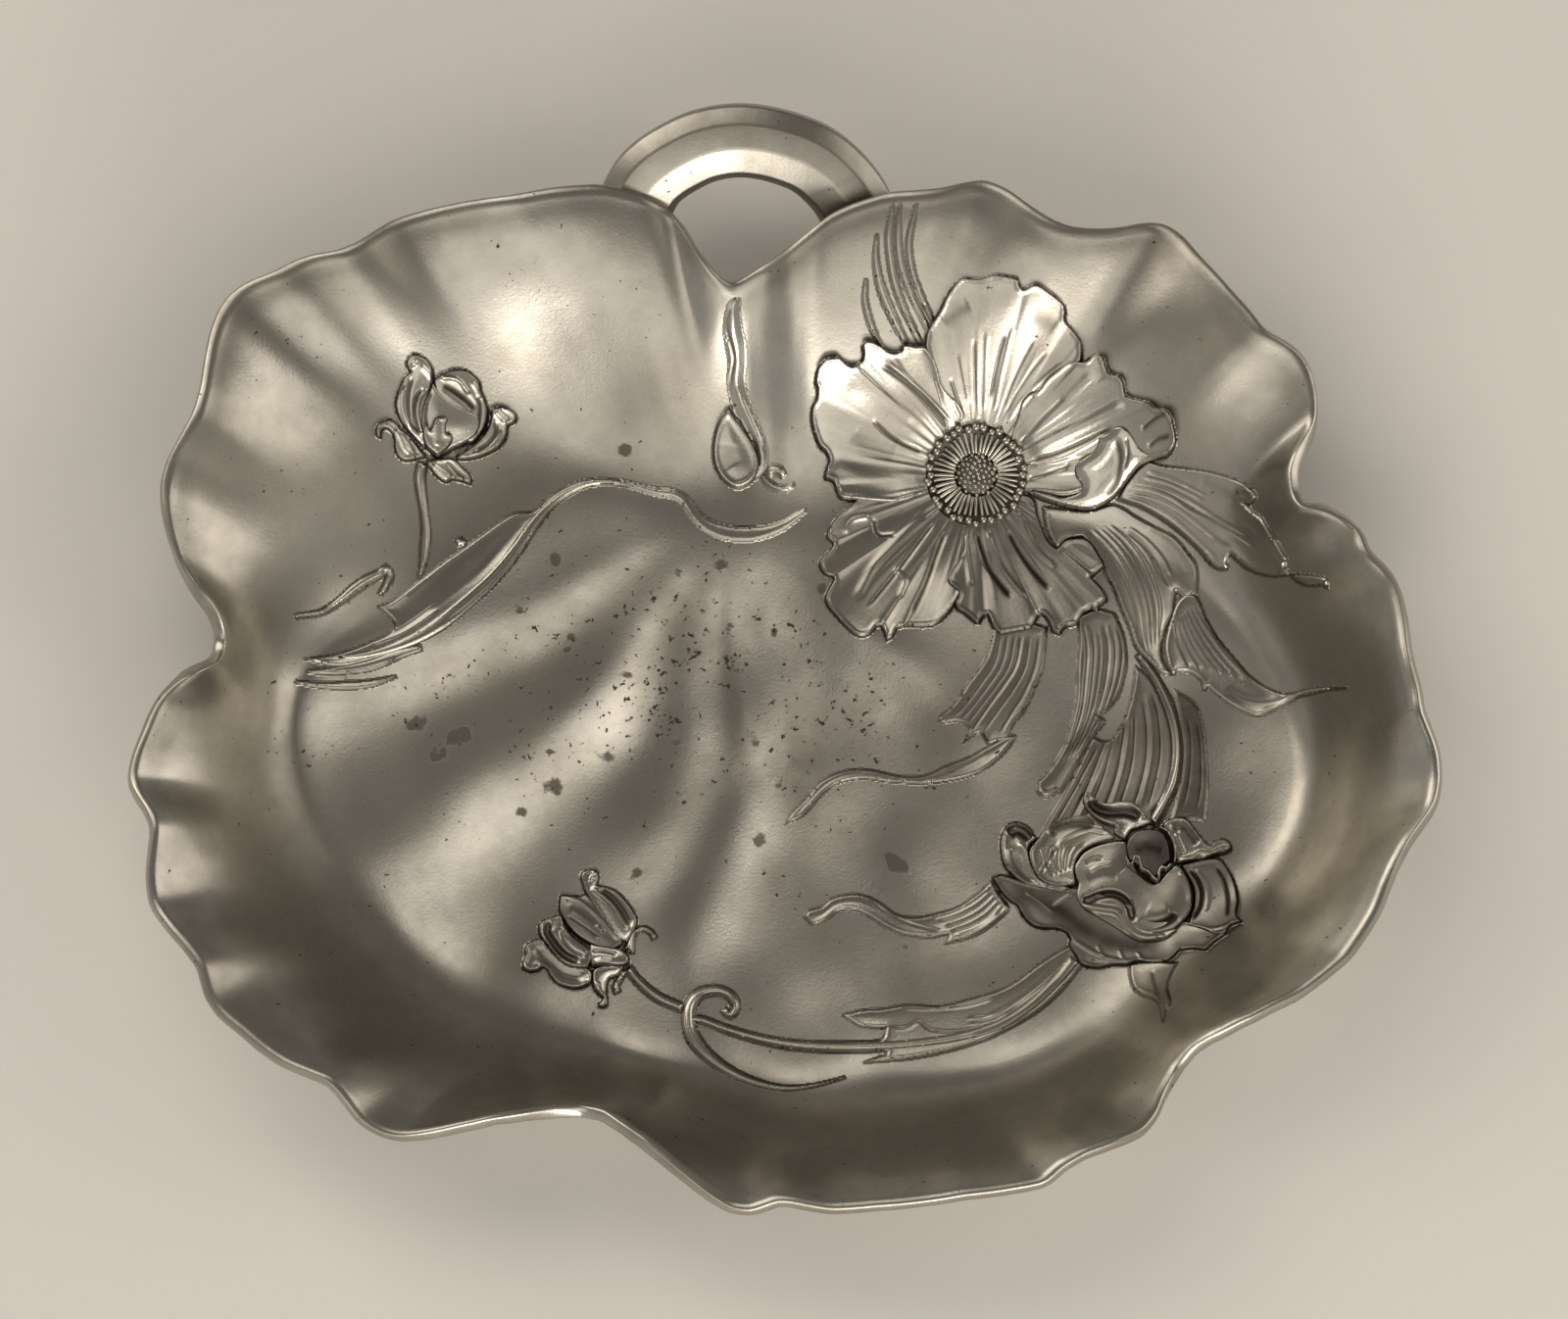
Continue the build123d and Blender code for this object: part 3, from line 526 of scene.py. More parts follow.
# %% [markdown]
# ## The loop handle
#
# The handle is a faceted bar, bent in a half ring: a steep strip outside, a broad face that falls to both
# sides of a ridge, and a bevel along the finger gap. Its cross-section is carried along the ridge by hand,
# because that keeps the bar square to its own slanting plane.

# %% Build the handle
handle_ridge_px = [
    (641, 234), (658, 198), (673, 181), (695, 167), (720, 156), handle_crown_px, (778, 153), (805, 160),
    (828, 170), (848, 186), (866, 208), (882, 240),
]
handle_lip_px = (658, 198)  # where the ridge goes under the lip
handle_seat = 4.5           # ridge of the handle under the rim, at the lip
# Corners of the cross-section, across and up from the ridge
handle_section = np.array([(0, 0), (5.2, -1.0), (handle_outer, -3.4), (handle_outer, -5.6),
                           (-7.8, -5.6), (-7.8, -3.4), (-6.0, -1.0)])
handle_corner = 0.55        # radius of its rounded corners
lip_height, crown_height = rim_height - handle_seat, rim_height + handle_rise
lip_y = plan(handle_lip_px, lip_height)[1]
handle_slope = (crown_height - lip_height) / (plan(handle_crown_px, crown_height)[1] - lip_y)


def on_handle(point_px):
    """Place of a picture point that lies on the handle's ridge."""
    height = crown_height
    for _ in range(height_passes):
        x, y = plan(point_px, height)
        height = lip_height + handle_slope * (y - lip_y)
    return x, y, height


def smooth_line(points, step):
    """A Catmull-Rom curve through points of any dimension, cut to steps of about this length."""
    points = np.asarray(points, float)
    if len(points) == 2:
        count = max(1, int(np.linalg.norm(points[1] - points[0]) / step))
        return points[0] + (points[1] - points[0]) * np.linspace(0, 1, count + 1)[:, None]
    padded = np.concatenate([[2 * points[0] - points[1]], points, [2 * points[-1] - points[-2]]])
    out = []
    for p0, p1, p2, p3 in zip(padded, padded[1:], padded[2:], padded[3:]):
        count = max(1, int(np.linalg.norm(p2 - p1) / step))
        t = np.linspace(0, 1, count, endpoint=False)[:, None]
        out.append(0.5 * (2 * p1 + (p2 - p0) * t + (2 * p0 - 5 * p1 + 4 * p2 - p3) * t ** 2
                          + (3 * p1 - p0 - 3 * p2 + p3) * t ** 3))
    return np.concatenate([*out, points[-1:]])


def directions(line):
    """The unit direction of a line at each of its points."""
    along = np.gradient(line, axis=0)
    return along / np.linalg.norm(along, axis=1)[:, None]


def round_corners(profile, radius):
    """Each corner of a closed profile becomes a small arc of six points."""
    out = []
    for before, corner, after in zip(np.roll(profile, 1, 0), profile, np.roll(profile, -1, 0)):
        first = corner + (before - corner) * min(radius / np.linalg.norm(before - corner), 0.45)
        last = corner + (after - corner) * min(radius / np.linalg.norm(after - corner), 0.45)
        for t in np.linspace(0, 1, 6):
            out.append((1 - t) ** 2 * first + 2 * t * (1 - t) * corner + t * t * last)
    return np.array(out)


def build_handle():
    line = smooth_line([on_handle(point) for point in handle_ridge_px], 0.9)
    along = directions(line)
    up = np.array([0, -handle_slope, 1.0]) / math.hypot(handle_slope, 1)
    side = np.cross(np.broadcast_to(up, along.shape), along)
    profile = round_corners(handle_section, handle_corner)
    count = len(profile)
    places = (line[:, None] + side[:, None] * profile[None, :, :1] + up * profile[None, :, 1:]).reshape(-1, 3)
    faces = band_faces(len(line), count, flipped=True)
    ends = np.arange(count)
    faces += [ends[::-1].tolist(), ((len(line) - 1) * count + ends).tolist()]
    # Painted shade lies along both bevels, in the colour of the film, and the underside is a little darker
    hollow = 0.35 * bell(profile[:, 0] - 5.4, 0.8) + 0.3 * bell(profile[:, 0] + 5.9, 0.7)
    hollow = np.where(profile[:, 1] < -1.6, 0.15, hollow)
    make_piece("handle_loop", places, faces, satin_pewter, ["handle"], np.tile(hollow, len(line)))


build_handle()

# %% [markdown]
# ## Low relief
#
# A motif of the relief is a sheet of fine triangles laid on the leaf. Where it passes the motif's outline
# the sheet steps up, and inside it swells, folds and has veins. The points near the outline are moved onto
# it, which keeps the step crisp. A thin dark band round each motif and in its grooves is partly tarnish in
# these hollows and partly painted shade up the step. Some motifs are darker all over, as tarnish and as
# painted shade.

# %% Distances to outlines and lines
outline_step_px, crease_step_px, ribbon_step_px = 2.0, 4.0, 3.0  # how finely traced lines are cut


def to_line(points, line, closed=False):
    """Distance from each point to a polyline, and how far along it the nearest place lies, from 0 to 1."""
    ends = np.roll(line, -1, 0) if closed else line[1:]
    starts = line if closed else line[:-1]
    best = np.full(len(points), np.inf)
    share = np.zeros(len(points))
    lengths = np.maximum(np.linalg.norm(ends - starts, axis=1), 1e-9)
    total, done = lengths.sum(), 0.0
    for start, end, length in zip(starts, ends, lengths):
        t = np.clip(((points - start) @ (end - start)) / length ** 2, 0, 1)
        away = np.hypot(*(points - start - t[:, None] * (end - start)).T)
        nearer = away < best
        best[nearer] = away[nearer]
        share[nearer] = ((done + t * length) / total)[nearer]
        done += length
    return best, share


def inside(points, outline):
    """True for the points inside a closed outline."""
    within = np.zeros(len(points), bool)
    for (x0, y0), (x1, y1) in zip(outline, np.roll(outline, -1, 0)):
        if y0 != y1:
            crosses = (y0 > points[:, 1]) != (y1 > points[:, 1])
            within ^= crosses & (points[:, 0] < (x1 - x0) * (points[:, 1] - y0) / (y1 - y0) + x0)
    return within


def signed_distance(points, outline):
    """Distance to a closed outline, more than 0 inside it and less outside."""
    away, _ = to_line(points, outline, closed=True)
    return np.where(inside(points, outline), away, -away)


def outline_of(stretches):
    """A closed outline in plan. Each stretch is smooth, and starts at the corner where the last one ends."""
    parts = [smooth_line([before[-1], *stretch], outline_step_px)[:-1]
             for before, stretch in zip([stretches[-1], *stretches], stretches)]
    return on_leaf(np.concatenate(parts))


# %% The sheet under a motif
# The dark band round a motif is partly tarnish and partly painted shade; the skirt carries it
sheet_step = 0.32           # spacing of its points
skirt = 0.6                 # how far it runs past the outline
skirt_lift = 0.07           # how far it rises there, to carry the film
sheet_depth = 0.35          # how deep its underside lies in the casting
film_and_shade_width = 0.27           # spread of the film to both sides
fade_share = 0.12           # share of a ridge or groove in which it fades out, at each end


def sheet_grid(outline):
    """Points in a grid of triangles over an outline, and the triangles."""
    low, high = outline.min(0) - 1.0, outline.max(0) + 1.0
    rows = np.arange(low[1], high[1], sheet_step * 0.866)
    cols = np.arange(low[0], high[0], sheet_step)
    x, y = np.meshgrid(cols, rows)
    x = x + (np.arange(len(rows)) % 2)[:, None] * sheet_step / 2
    index = np.arange(x.size).reshape(x.shape)
    tris = []
    for i, (a, b) in enumerate(zip(index, index[1:])):
        if i % 2 == 0:
            tris += [np.stack([a[:-1], a[1:], b[:-1]], 1), np.stack([a[1:], b[1:], b[:-1]], 1)]
        else:
            tris += [np.stack([a[:-1], b[1:], b[:-1]], 1), np.stack([a[:-1], a[1:], b[1:]], 1)]
    return np.stack([x.ravel(), y.ravel()], 1), np.concatenate(tris)


def snap(points, outline):
    """Moves the points near the outline, and near the top of its step, onto them. Gives the distances."""
    probe = 0.02
    signed = signed_distance(points, outline)
    for level in (0.0, sheet_step):
        near = np.abs(signed - level) < sheet_step / 2
        spots = points[near]
        slope = np.stack([(signed_distance(spots + shift, outline) - signed[near]) / probe
                          for shift in ((probe, 0), (0, probe))], 1)
        size = np.maximum(np.linalg.norm(slope, axis=1), 0.3)[:, None]
        points[near] = spots + slope / size ** 2 * (level - signed[near])[:, None]
        signed[near] = level
    return signed


def creases(points, lines):
    """Ridges and grooves along picture lines: each has points, a width and a height in millimetres."""
    total = np.zeros(len(points))
    for stretch, width, height in lines:
        away, share = to_line(points, on_leaf(smooth_line(stretch, crease_step_px)))
        taper = ease(share / fade_share) * ease((1 - share) / fade_share)
        total += height * taper * bell(away, width)
    return total


def evened(values, edges, passes):
    """Values averaged with those of their neighbours, so that a swelling has no ridge along its middle."""
    share = np.bincount(edges.ravel(), minlength=len(values))
    for _ in range(passes):
        total = (np.bincount(edges[:, 0], values[edges[:, 1]], len(values))
                 + np.bincount(edges[:, 1], values[edges[:, 0]], len(values)))
        values = (values + total / share) / 2
    return values


# %% Lay a motif on the leaf
def lay_motif(name, outline, node, shape, edge=0.45, lines=(), grime_and_shade=0.95, patina_and_shade=0.0, film_and_shade_at=-0.12,
              passes=0):
    """A closed piece over an outline.

    shape gives its height from places and distances to the outline, and edge is how wide its step is. A
    dark band lies round the outline, of strength grime, at film_and_shade_at from it: tarnish at the foot of
    the step and painted shade up it. patina darkens all of the motif, as tarnish and as painted shade.
    """
    points, tris = sheet_grid(outline)
    signed = snap(points, outline)
    tris = tris[(signed[tris] > -skirt).all(1)]
    used, tris = np.unique(tris, return_inverse=True)
    tris = tris.reshape(-1, 3)
    points, signed = points[used], signed[used]
    depth = np.maximum(signed, 0)
    grooves = creases(points, lines) * ease(depth / 0.8)
    edges = np.concatenate([tris[:, [0, 1]], tris[:, [1, 2]], tris[:, [2, 0]]])
    body = evened(shape(points, depth), edges, passes) + grooves
    rise = np.sqrt(np.clip(1 - (1 - np.minimum(depth / edge, 1)) ** 2, 0, 1))
    lift = np.where(signed > 0, body * rise, 0.0) + skirt_lift * ease((signed + skirt) / 0.35)
    base = leaf_height(points[:, 0], points[:, 1])
    top = np.column_stack([points, base + lift])
    bottom = np.column_stack([points, base - sheet_depth])
    # Edges that only one triangle has are the border, where top and bottom are joined
    count = len(points)
    alone = ~np.isin(edges[:, 0] * count + edges[:, 1], edges[:, 1] * count + edges[:, 0])
    start, end = edges[alone].T
    walls = np.stack([start, start + count, end + count, end], 1)
    faces = tris.tolist() + (tris[:, ::-1] + count).tolist() + walls.tolist()
    # Dark at the outline and in the grooves: tarnish in these hollows, and painted shade up the step
    film_and_shade = bell(signed - film_and_shade_at, film_and_shade_width) * grime_and_shade + np.clip(-grooves * 1.8, 0, 0.7)
    # A dark tone over all of the motif, as tarnish and as painted shade
    film_and_shade = film_and_shade + patina_and_shade * (signed > 0)
    make_piece(name, np.concatenate([top, bottom]), faces, chased_pewter, [node],
               np.concatenate([film_and_shade, np.zeros(count)]))


# %% [markdown]
# ## The open poppy
#
# Six petals overlap round the boss. Each is drawn whole, also where it goes under its neighbour, and has
# its own height, so the overlaps come out by themselves. The scallops of a petal's edge run inwards as soft
# folds: they are worked out from how far the outline stands out from a smoothed one.

# %% Outlines of the petals
flower_px = (997, 485)
flower = on_leaf([flower_px])[0]
petals_px = {
    "left": [
        [(985, 425), (980, 412), (970, 403), (962, 392), (959, 380), (955, 368), (948, 358), (944, 354)],
        [(935, 354), (922, 352), (920, 358), (914, 360), (907, 359), (900, 354), (890, 349), (884, 349)],
        [(880, 353), (881, 362), (879, 369), (872, 374), (866, 373), (860, 368), (856, 365), (843, 367)],
        [(838, 372), (834, 378), (832, 390), (834, 397), (833, 408), (829, 415), (828, 428), (831, 442),
         (836, 455), (843, 462), (846, 470), (843, 480), (842, 488), (850, 492), (856, 507), (862, 510)],
        [(900, 513), (925, 511), (944, 503), (965, 495)],
        [(970, 470), (975, 440)],
    ],
    "top": [
        [(966, 440), (958, 410), (950, 380), (944, 354)],
        [(946, 340), (950, 332), (954, 326), (960, 316), (966, 303), (975, 290), (982, 284)],
        [(1000, 285), (1008, 283), (1015, 281), (1035, 284), (1040, 287), (1041, 293), (1045, 296)],
        [(1058, 291), (1070, 298), (1085, 310), (1088, 318), (1088, 328), (1098, 340), (1104, 350),
         (1105, 360), (1104, 369)],
        [(1080, 400), (1060, 430), (1035, 460), (1015, 475)],
        [(990, 478), (972, 470)],
    ],
    "right": [
        [(1030, 447), (1040, 420), (1043, 411), (1050, 403), (1060, 398), (1068, 388), (1080, 378),
         (1092, 370), (1108, 370), (1113, 365), (1119, 362)],
        [(1123, 362), (1127, 368), (1130, 378), (1135, 383), (1142, 384), (1147, 392), (1149, 402),
         (1152, 406), (1172, 411)],
        [(1180, 418), (1188, 418), (1195, 425), (1199, 438), (1201, 450), (1198, 460), (1192, 466),
         (1185, 468)],
        [(1160, 475), (1125, 495), (1090, 508), (1052, 502)],
        [(1030, 495), (1020, 462)],
    ],
    "curl": [
        [(1175, 464), (1165, 458), (1158, 448), (1152, 440), (1146, 436), (1138, 437), (1130, 443),
         (1122, 447), (1120, 455), (1115, 462), (1108, 467), (1100, 473), (1097, 480), (1098, 487),
         (1104, 497), (1102, 503), (1095, 506), (1085, 508), (1075, 505), (1060, 502), (1045, 499)],
        [(1058, 507), (1070, 512), (1090, 518), (1110, 521), (1125, 517), (1138, 508), (1148, 497),
         (1155, 487), (1165, 476), (1178, 470), (1185, 468)],
    ],
    "lower_right": [
        [(1040, 503), (1054, 507), (1058, 515), (1060, 525), (1065, 540), (1070, 550), (1075, 556),
         (1080, 560)],
        [(1088, 552), (1095, 550), (1105, 550), (1113, 553), (1120, 562), (1129, 578)],
        [(1115, 590)],
        [(1122, 597), (1128, 605), (1131, 613), (1123, 620), (1122, 626)],
        [(1115, 623), (1108, 626), (1104, 632), (1100, 638), (1090, 640), (1082, 648)],
        [(1075, 645), (1072, 637), (1068, 631), (1062, 628), (1055, 640), (1048, 643), (1022, 648)],
        [(1015, 643), (1008, 628), (1003, 632), (998, 637), (985, 627), (977, 622), (975, 615)],
        [(979, 608), (976, 602), (970, 598), (967, 593), (970, 585), (981, 567), (984, 555), (982, 532),
         (980, 505)],
        [(1000, 490), (1020, 505)],
    ],
    "lower_left": [
        [(988, 540), (986, 575), (984, 600), (976, 617)],
        [(965, 630), (955, 638), (945, 640), (922, 640), (915, 643), (912, 650), (905, 654)],
        [(900, 640), (895, 640), (890, 646), (882, 650), (872, 648), (859, 636), (852, 628), (845, 620),
         (842, 612), (844, 605), (851, 592)],
        [(850, 589), (843, 587), (838, 582), (836, 575), (840, 568), (847, 562), (850, 555), (844, 549),
         (845, 542), (850, 534), (858, 524), (870, 515)],
        [(880, 505), (905, 500), (940, 495), (965, 488)],
        [(985, 490), (990, 505)],
    ],
}
petal_veins = {
    "left": [
        ([(897, 372), (914, 383), (932, 397), (952, 417), (970, 437)], 0.35, -0.40),
        ([(902, 368), (920, 381), (938, 396), (958, 416), (974, 434)], 0.30, 0.30),
        ([(890, 428), (905, 442), (922, 453), (942, 461)], 0.32, -0.45),
        ([(862, 400), (880, 400), (905, 412), (935, 432)], 1.8, 0.16),
        ([(850, 470), (880, 486), (915, 490), (945, 487)], 1.8, 0.18),
        ([(870, 440), (890, 452), (915, 462)], 2.0, -0.16),
    ],
    "top": [
        ([(994, 345), (995, 370), (996, 400), (998, 425)], 0.26, -0.28),
        ([(1026, 340), (1021, 358), (1016, 380), (1012, 405)], 0.32, -0.34),
        ([(1035, 332), (1028, 360), (1021, 390), (1016, 420)], 0.40, 0.26),
        ([(1070, 358), (1052, 380), (1038, 402), (1026, 425)], 0.28, -0.24),
        ([(1056, 346), (1044, 368), (1033, 392), (1024, 418)], 0.26, -0.22),
        ([(1008, 336), (1007, 360), (1006, 392), (1005, 420)], 0.36, 0.20),
        ([(970, 385), (976, 403), (985, 426)], 0.28, -0.26),
        ([(980, 360), (984, 382), (990, 412)], 0.36, 0.20),
        ([(962, 330), (975, 320), (990, 312)], 1.6, -0.22),
        ([(1055, 318), (1066, 325), (1078, 335)], 1.6, -0.20),
        ([(1088, 370), (1064, 388), (1042, 410), (1030, 430)], 0.45, 0.24),
    ],
    "right": [
        ([(1050, 471), (1080, 463), (1110, 450), (1138, 436)], 0.40, -0.50),
        ([(1050, 476), (1080, 470), (1105, 458), (1128, 444)], 0.40, 0.35),
        ([(1050, 488), (1075, 482), (1095, 474)], 0.35, -0.35),
        ([(1120, 380), (1098, 402), (1072, 428), (1045, 452)], 1.3, 0.35),
        ([(1150, 412), (1120, 428), (1085, 446), (1050, 462)], 1.2, 0.35),
        ([(1040, 455), (1062, 430), (1088, 405)], 0.4, -0.25),
        ([(1165, 440), (1180, 428), (1190, 424)], 0.5, -0.35),
        ([(1172, 458), (1182, 450), (1194, 447)], 0.5, -0.35),
    ],
    "lower_right": [
        ([(997, 541), (1003, 562), (1012, 584), (1034, 612)], 0.45, -0.45),
        ([(1008, 540), (1016, 565), (1030, 590), (1050, 612)], 0.5, 0.40),
        ([(1028, 540), (1040, 562), (1056, 584), (1074, 604)], 0.45, -0.40),
        ([(1040, 520), (1050, 545), (1062, 565), (1080, 580)], 0.6, 0.30),
        ([(985, 545), (988, 570), (992, 600)], 0.5, 0.25),
    ],
    "lower_left": [
        ([(957, 530), (940, 552), (915, 585), (885, 622)], 0.35, -0.35),
        ([(948, 522), (925, 542), (895, 575), (872, 615)], 0.9, 0.35),
        ([(966, 540), (955, 570), (944, 600), (930, 630)], 0.6, -0.35),
        ([(892, 528), (893, 538), (898, 546), (915, 545)], 0.35, -0.40),
        ([(862, 545), (870, 532), (888, 527)], 0.5, 0.35),
        ([(912, 580), (924, 592), (918, 612)], 0.5, 0.3),
    ],
    "curl": [
        ([(1138, 450), (1144, 470), (1140, 492), (1130, 508)], 0.7, -0.35),
        ([(1150, 448), (1152, 466), (1148, 482)], 0.35, -0.35),
    ],
}
petal_heights = {
    "lower_left": 0.85, "lower_right": 1.15, "top": 1.1, "left": 1.45, "right": 1.7, "curl": 2.35,
}
# Petals that are darker all over, as tarnish and as painted shade
petal_patina_and_shade = {"lower_left": 0.16, "lower_right": 0.30, "right": 0.05}


# %% Lay the petals
def around_flower(points):
    """The angle and the distance of places in plan, seen from the middle of the flower."""
    across, along = (points - flower).T
    return np.arctan2(along, across), np.hypot(across, along)


def scallops(outline, points):
    """How far the outline stands out from a smooth one, read at each point's angle round the flower."""
    soft_reach = 14             # degrees
    turn, reach = around_flower(outline)
    bins = np.radians(np.arange(-180, 180, 1.0))
    far = np.array([reach[np.abs((turn - b + np.pi) % (2 * np.pi) - np.pi) < math.radians(1.5)].max(initial=0)
                    for b in bins])
    steps = np.arange(-2 * soft_reach, 2 * soft_reach + 1)
    weights = np.exp(-0.5 * (steps / (soft_reach / 2)) ** 2)
    known = (far > 0).astype(float)
    soft = sum(w * np.roll(far, s) for w, s in zip(weights, steps))
    soft /= np.maximum(sum(w * np.roll(known, s) for w, s in zip(weights, steps)), 1e-6)
    out = np.where(far > 0, far - soft, 0)
    angle, radius = around_flower(points)
    reach_here = np.interp(angle, bins, np.where(far > 0, far, soft), period=2 * np.pi)
    return np.interp(angle, bins, out, period=2 * np.pi), radius / np.maximum(reach_here, 1)


def petal_shape(name, outline):
    height = petal_heights[name]

    def shape(points, depth):
        out, share = scallops(outline, points)
        angle, radius = around_flower(points)
        # Two sets of folds run out from the middle: broad waves, and fine ribs that end at uneven reaches
        wave = np.cos(angle * 26 + 3 * np.sin(angle * 5))
        ribs = (0.5 + 0.5 * np.cos(angle * 66 + 2.5 * np.sin(angle * 11))) ** 3
        fine = ribs * (0.6 + 0.4 * np.sin(angle * 17))
        reach = 0.42 + 0.16 * np.sin(angle * 13 + 1.0)
        rays = 0.05 * wave * (1 - ease((share - 0.5) / 0.4)) + 0.17 * fine * (1 - ease((share - reach) / 0.3))
        # Towards its edge the petal is ruffled and rolled, and all of it is a shallow cup
        ruffle = 0.20 * np.clip(out, -2.5, 2.5) * ease((share - 0.45) / 0.5)
        rolled = 0.28 * bell(depth - 0.45, 0.45) * ease((share - 0.5) / 0.2)
        cup = -0.30 * np.sin(np.clip(share, 0, 1) * math.pi) + 0.35 * ease((share - 0.6) / 0.4)
        base = 0.6 + (height - 0.6) * ease((radius - 8) / 9)
        return np.maximum(base + rays + ruffle + rolled + cup, 0.25)

    return shape


def curl_shape(points, depth):
    return petal_heights["curl"] + 0.7 * (1 - bell(depth, 1.6)) - 0.4 * ease((depth - 2.0) / 2.5)


for petal_name, stretches in petals_px.items():
    outline = outline_of(stretches)
    shape = curl_shape if petal_name == "curl" else petal_shape(petal_name, outline)
    lay_motif(f"petal_{petal_name}", outline, f"poppy_petal_{petal_name}", shape, grime_and_shade=1.0, film_and_shade_at=0.0,
              lines=petal_veins[petal_name], patina_and_shade=petal_patina_and_shade.get(petal_name, 0.0))

# %% [markdown]
# ## The heart of the poppy
#
# Inside the petals lie a ring of fine filaments, a ring of beads for the anthers, and a domed boss set
# with tiny beads. They repeat, so Geometry Nodes grow them: thin curves get a round section, and points get
# a small sphere each. The trees end in Realize Instances and Set Material, and become plain meshes.

# %% Grow a repeated part with Geometry Nodes
def plant_tree(name, sizes, build, material):
    """A node tree with named inputs for its sizes. build makes the geometry out of them."""
    tree = bpy.data.node_groups.new(name, "GeometryNodeTree")
    tree.interface.new_socket("Geometry", in_out="INPUT", socket_type="NodeSocketGeometry")
    for label, value in sizes.items():
        kind = "NodeSocketInt" if isinstance(value, int) else "NodeSocketFloat"
        tree.interface.new_socket(label, in_out="INPUT", socket_type=kind)
    tree.interface.new_socket("Geometry", in_out="OUTPUT", socket_type="NodeSocketGeometry")
    given = tree.nodes.new("NodeGroupInput").outputs
    grown = build(tree, given)
    whole = add_node(tree, "GeometryNodeRealizeInstances", None, {"Geometry": grown})
    coated = add_node(tree, "GeometryNodeSetMaterial", None, {
        "Geometry": whole.outputs["Geometry"], "Material": material})
    smooth = add_node(tree, "GeometryNodeSetShadeSmooth", None, {"Geometry": coated.outputs["Geometry"]})
    tree.links.new(smooth.outputs["Geometry"], tree.nodes.new("NodeGroupOutput").inputs["Geometry"])
    return tree


def grow(name, places, edges, sizes, build, node):
    """A plain mesh grown by a node tree on these places and edges."""
    mesh = bpy.data.meshes.new(name)
    mesh.from_pydata((np.asarray(places) * metres).tolist(), edges, [])
    piece = bpy.data.objects.new(name, mesh)
    bpy.context.scene.collection.objects.link(piece)
    tree = plant_tree(name + "_tree", sizes, build, chased_pewter)
    modifier = piece.modifiers.new("grow", "NODES")
    modifier.node_group = tree
    for item in tree.interface.items_tree:
        if item.in_out == "INPUT" and item.name in sizes:
            modifier[item.identifier] = sizes[item.name]
    view = bpy.context.evaluated_depsgraph_get()
    grown = bpy.data.meshes.new_from_object(piece.evaluated_get(view))
    piece.modifiers.clear()
    piece.data = grown
    finish_piece(piece, [node])


def beads(tree, given):
    """A ball of a slightly random size on each point."""
    ball = add_node(tree, "GeometryNodeMeshIcoSphere", None, {
        "Radius": given["Bead Radius"], "Subdivisions": given["Roundness"]})
    spread = add_node(tree, "FunctionNodeRandomValue", {"data_type": "FLOAT"}, {
        "Min": given["Smallest"], "Max": 1.1, "Seed": given["Seed"]})
    dots = add_node(tree, "GeometryNodeMeshToPoints", None, {"Mesh": given["Geometry"]})
    placed = add_node(tree, "GeometryNodeInstanceOnPoints", None, {
        "Points": dots.outputs["Points"], "Instance": ball.outputs["Mesh"], "Scale": spread.outputs[1]})
    return placed.outputs["Instances"]


def threads(tree, given):
    """A round thread along each line of edges, thin at its start."""
    line = add_node(tree, "GeometryNodeMeshToCurve", None, {"Mesh": given["Geometry"]})
    along = add_node(tree, "GeometryNodeSplineParameter")
    thick = add_node(tree, "ShaderNodeMapRange", None, {
        "Value": along.outputs["Factor"], "To Min": given["Thin Share"], "To Max": 1.0})
    sized = add_node(tree, "GeometryNodeSetCurveRadius", None, {
        "Curve": line.outputs["Curve"], "Radius": thick.outputs["Result"]})
    section = add_node(tree, "GeometryNodeCurvePrimitiveCircle", None, {
        "Radius": given["Radius"], "Resolution": 8})
    swept = add_node(tree, "GeometryNodeCurveToMesh", None, {
        "Curve": sized.outputs["Curve"], "Profile Curve": section.outputs["Curve"], "Fill Caps": True})
    return swept.outputs["Mesh"]


# %% Boss, filaments and anthers
# Radii round the flower, in picture pixels
boss_px, stamen_px, anther_px = 22.5, 52.5, 48.0
boss_bead_count, filament_count, anther_count = 62, 44, 36
filament_points = 6
golden_turn = math.pi * (3 - math.sqrt(5))
wobble = np.random.default_rng(7)


def flower_point(radius_px, turn):
    """The picture point at a radius and an angle round the flower."""
    return flower_px[0] + radius_px * math.cos(turn), flower_px[1] - radius_px * math.sin(turn)


def circle(radius_px, count):
    """A closed circle round the flower, in plan."""
    turn = 2 * math.pi / count
    return on_leaf([flower_point(radius_px, i * turn) for i in range(count)])


def lifted(points_px, lift):
    """Places on the leaf, raised by a lift in millimetres."""
    plans = on_leaf(points_px)
    return np.column_stack([plans, leaf_height(plans[:, 0], plans[:, 1]) + lift])


def disc_shape(points, depth):
    return 1.25 - 0.35 * ease(depth / 4)


def boss_shape(points, depth):
    """A dome with a small dimple in its middle."""
    away = around_flower(points)[1] / (boss_px * scale)
    return 1.1 + 1.5 * np.sqrt(np.clip(1 - away ** 2, 0, 1)) - 0.4 * bell(away, 0.3)


# The disc and the boss are dark under the threads and beads: tarnish, and painted shade between them
lay_motif("stamen_disc", circle(stamen_px, 140), "poppy_stamens", disc_shape, edge=0.6, patina_and_shade=0.8)
lay_motif("boss", circle(boss_px, 90), "poppy_boss", boss_shape, edge=0.7, patina_and_shade=0.75)

# The beads of the boss sit on a sunflower spiral, which spreads them evenly
boss_beads_px = [flower_point(boss_px * math.sqrt((i + 0.5) / boss_bead_count), -i * golden_turn)
                 for i in range(boss_bead_count)]
grow("boss_beads", lifted(boss_beads_px, boss_shape(on_leaf(boss_beads_px), None)), [],
     {"Bead Radius": 0.00052, "Roundness": 2, "Smallest": 0.6, "Seed": 3}, beads, "poppy_boss")

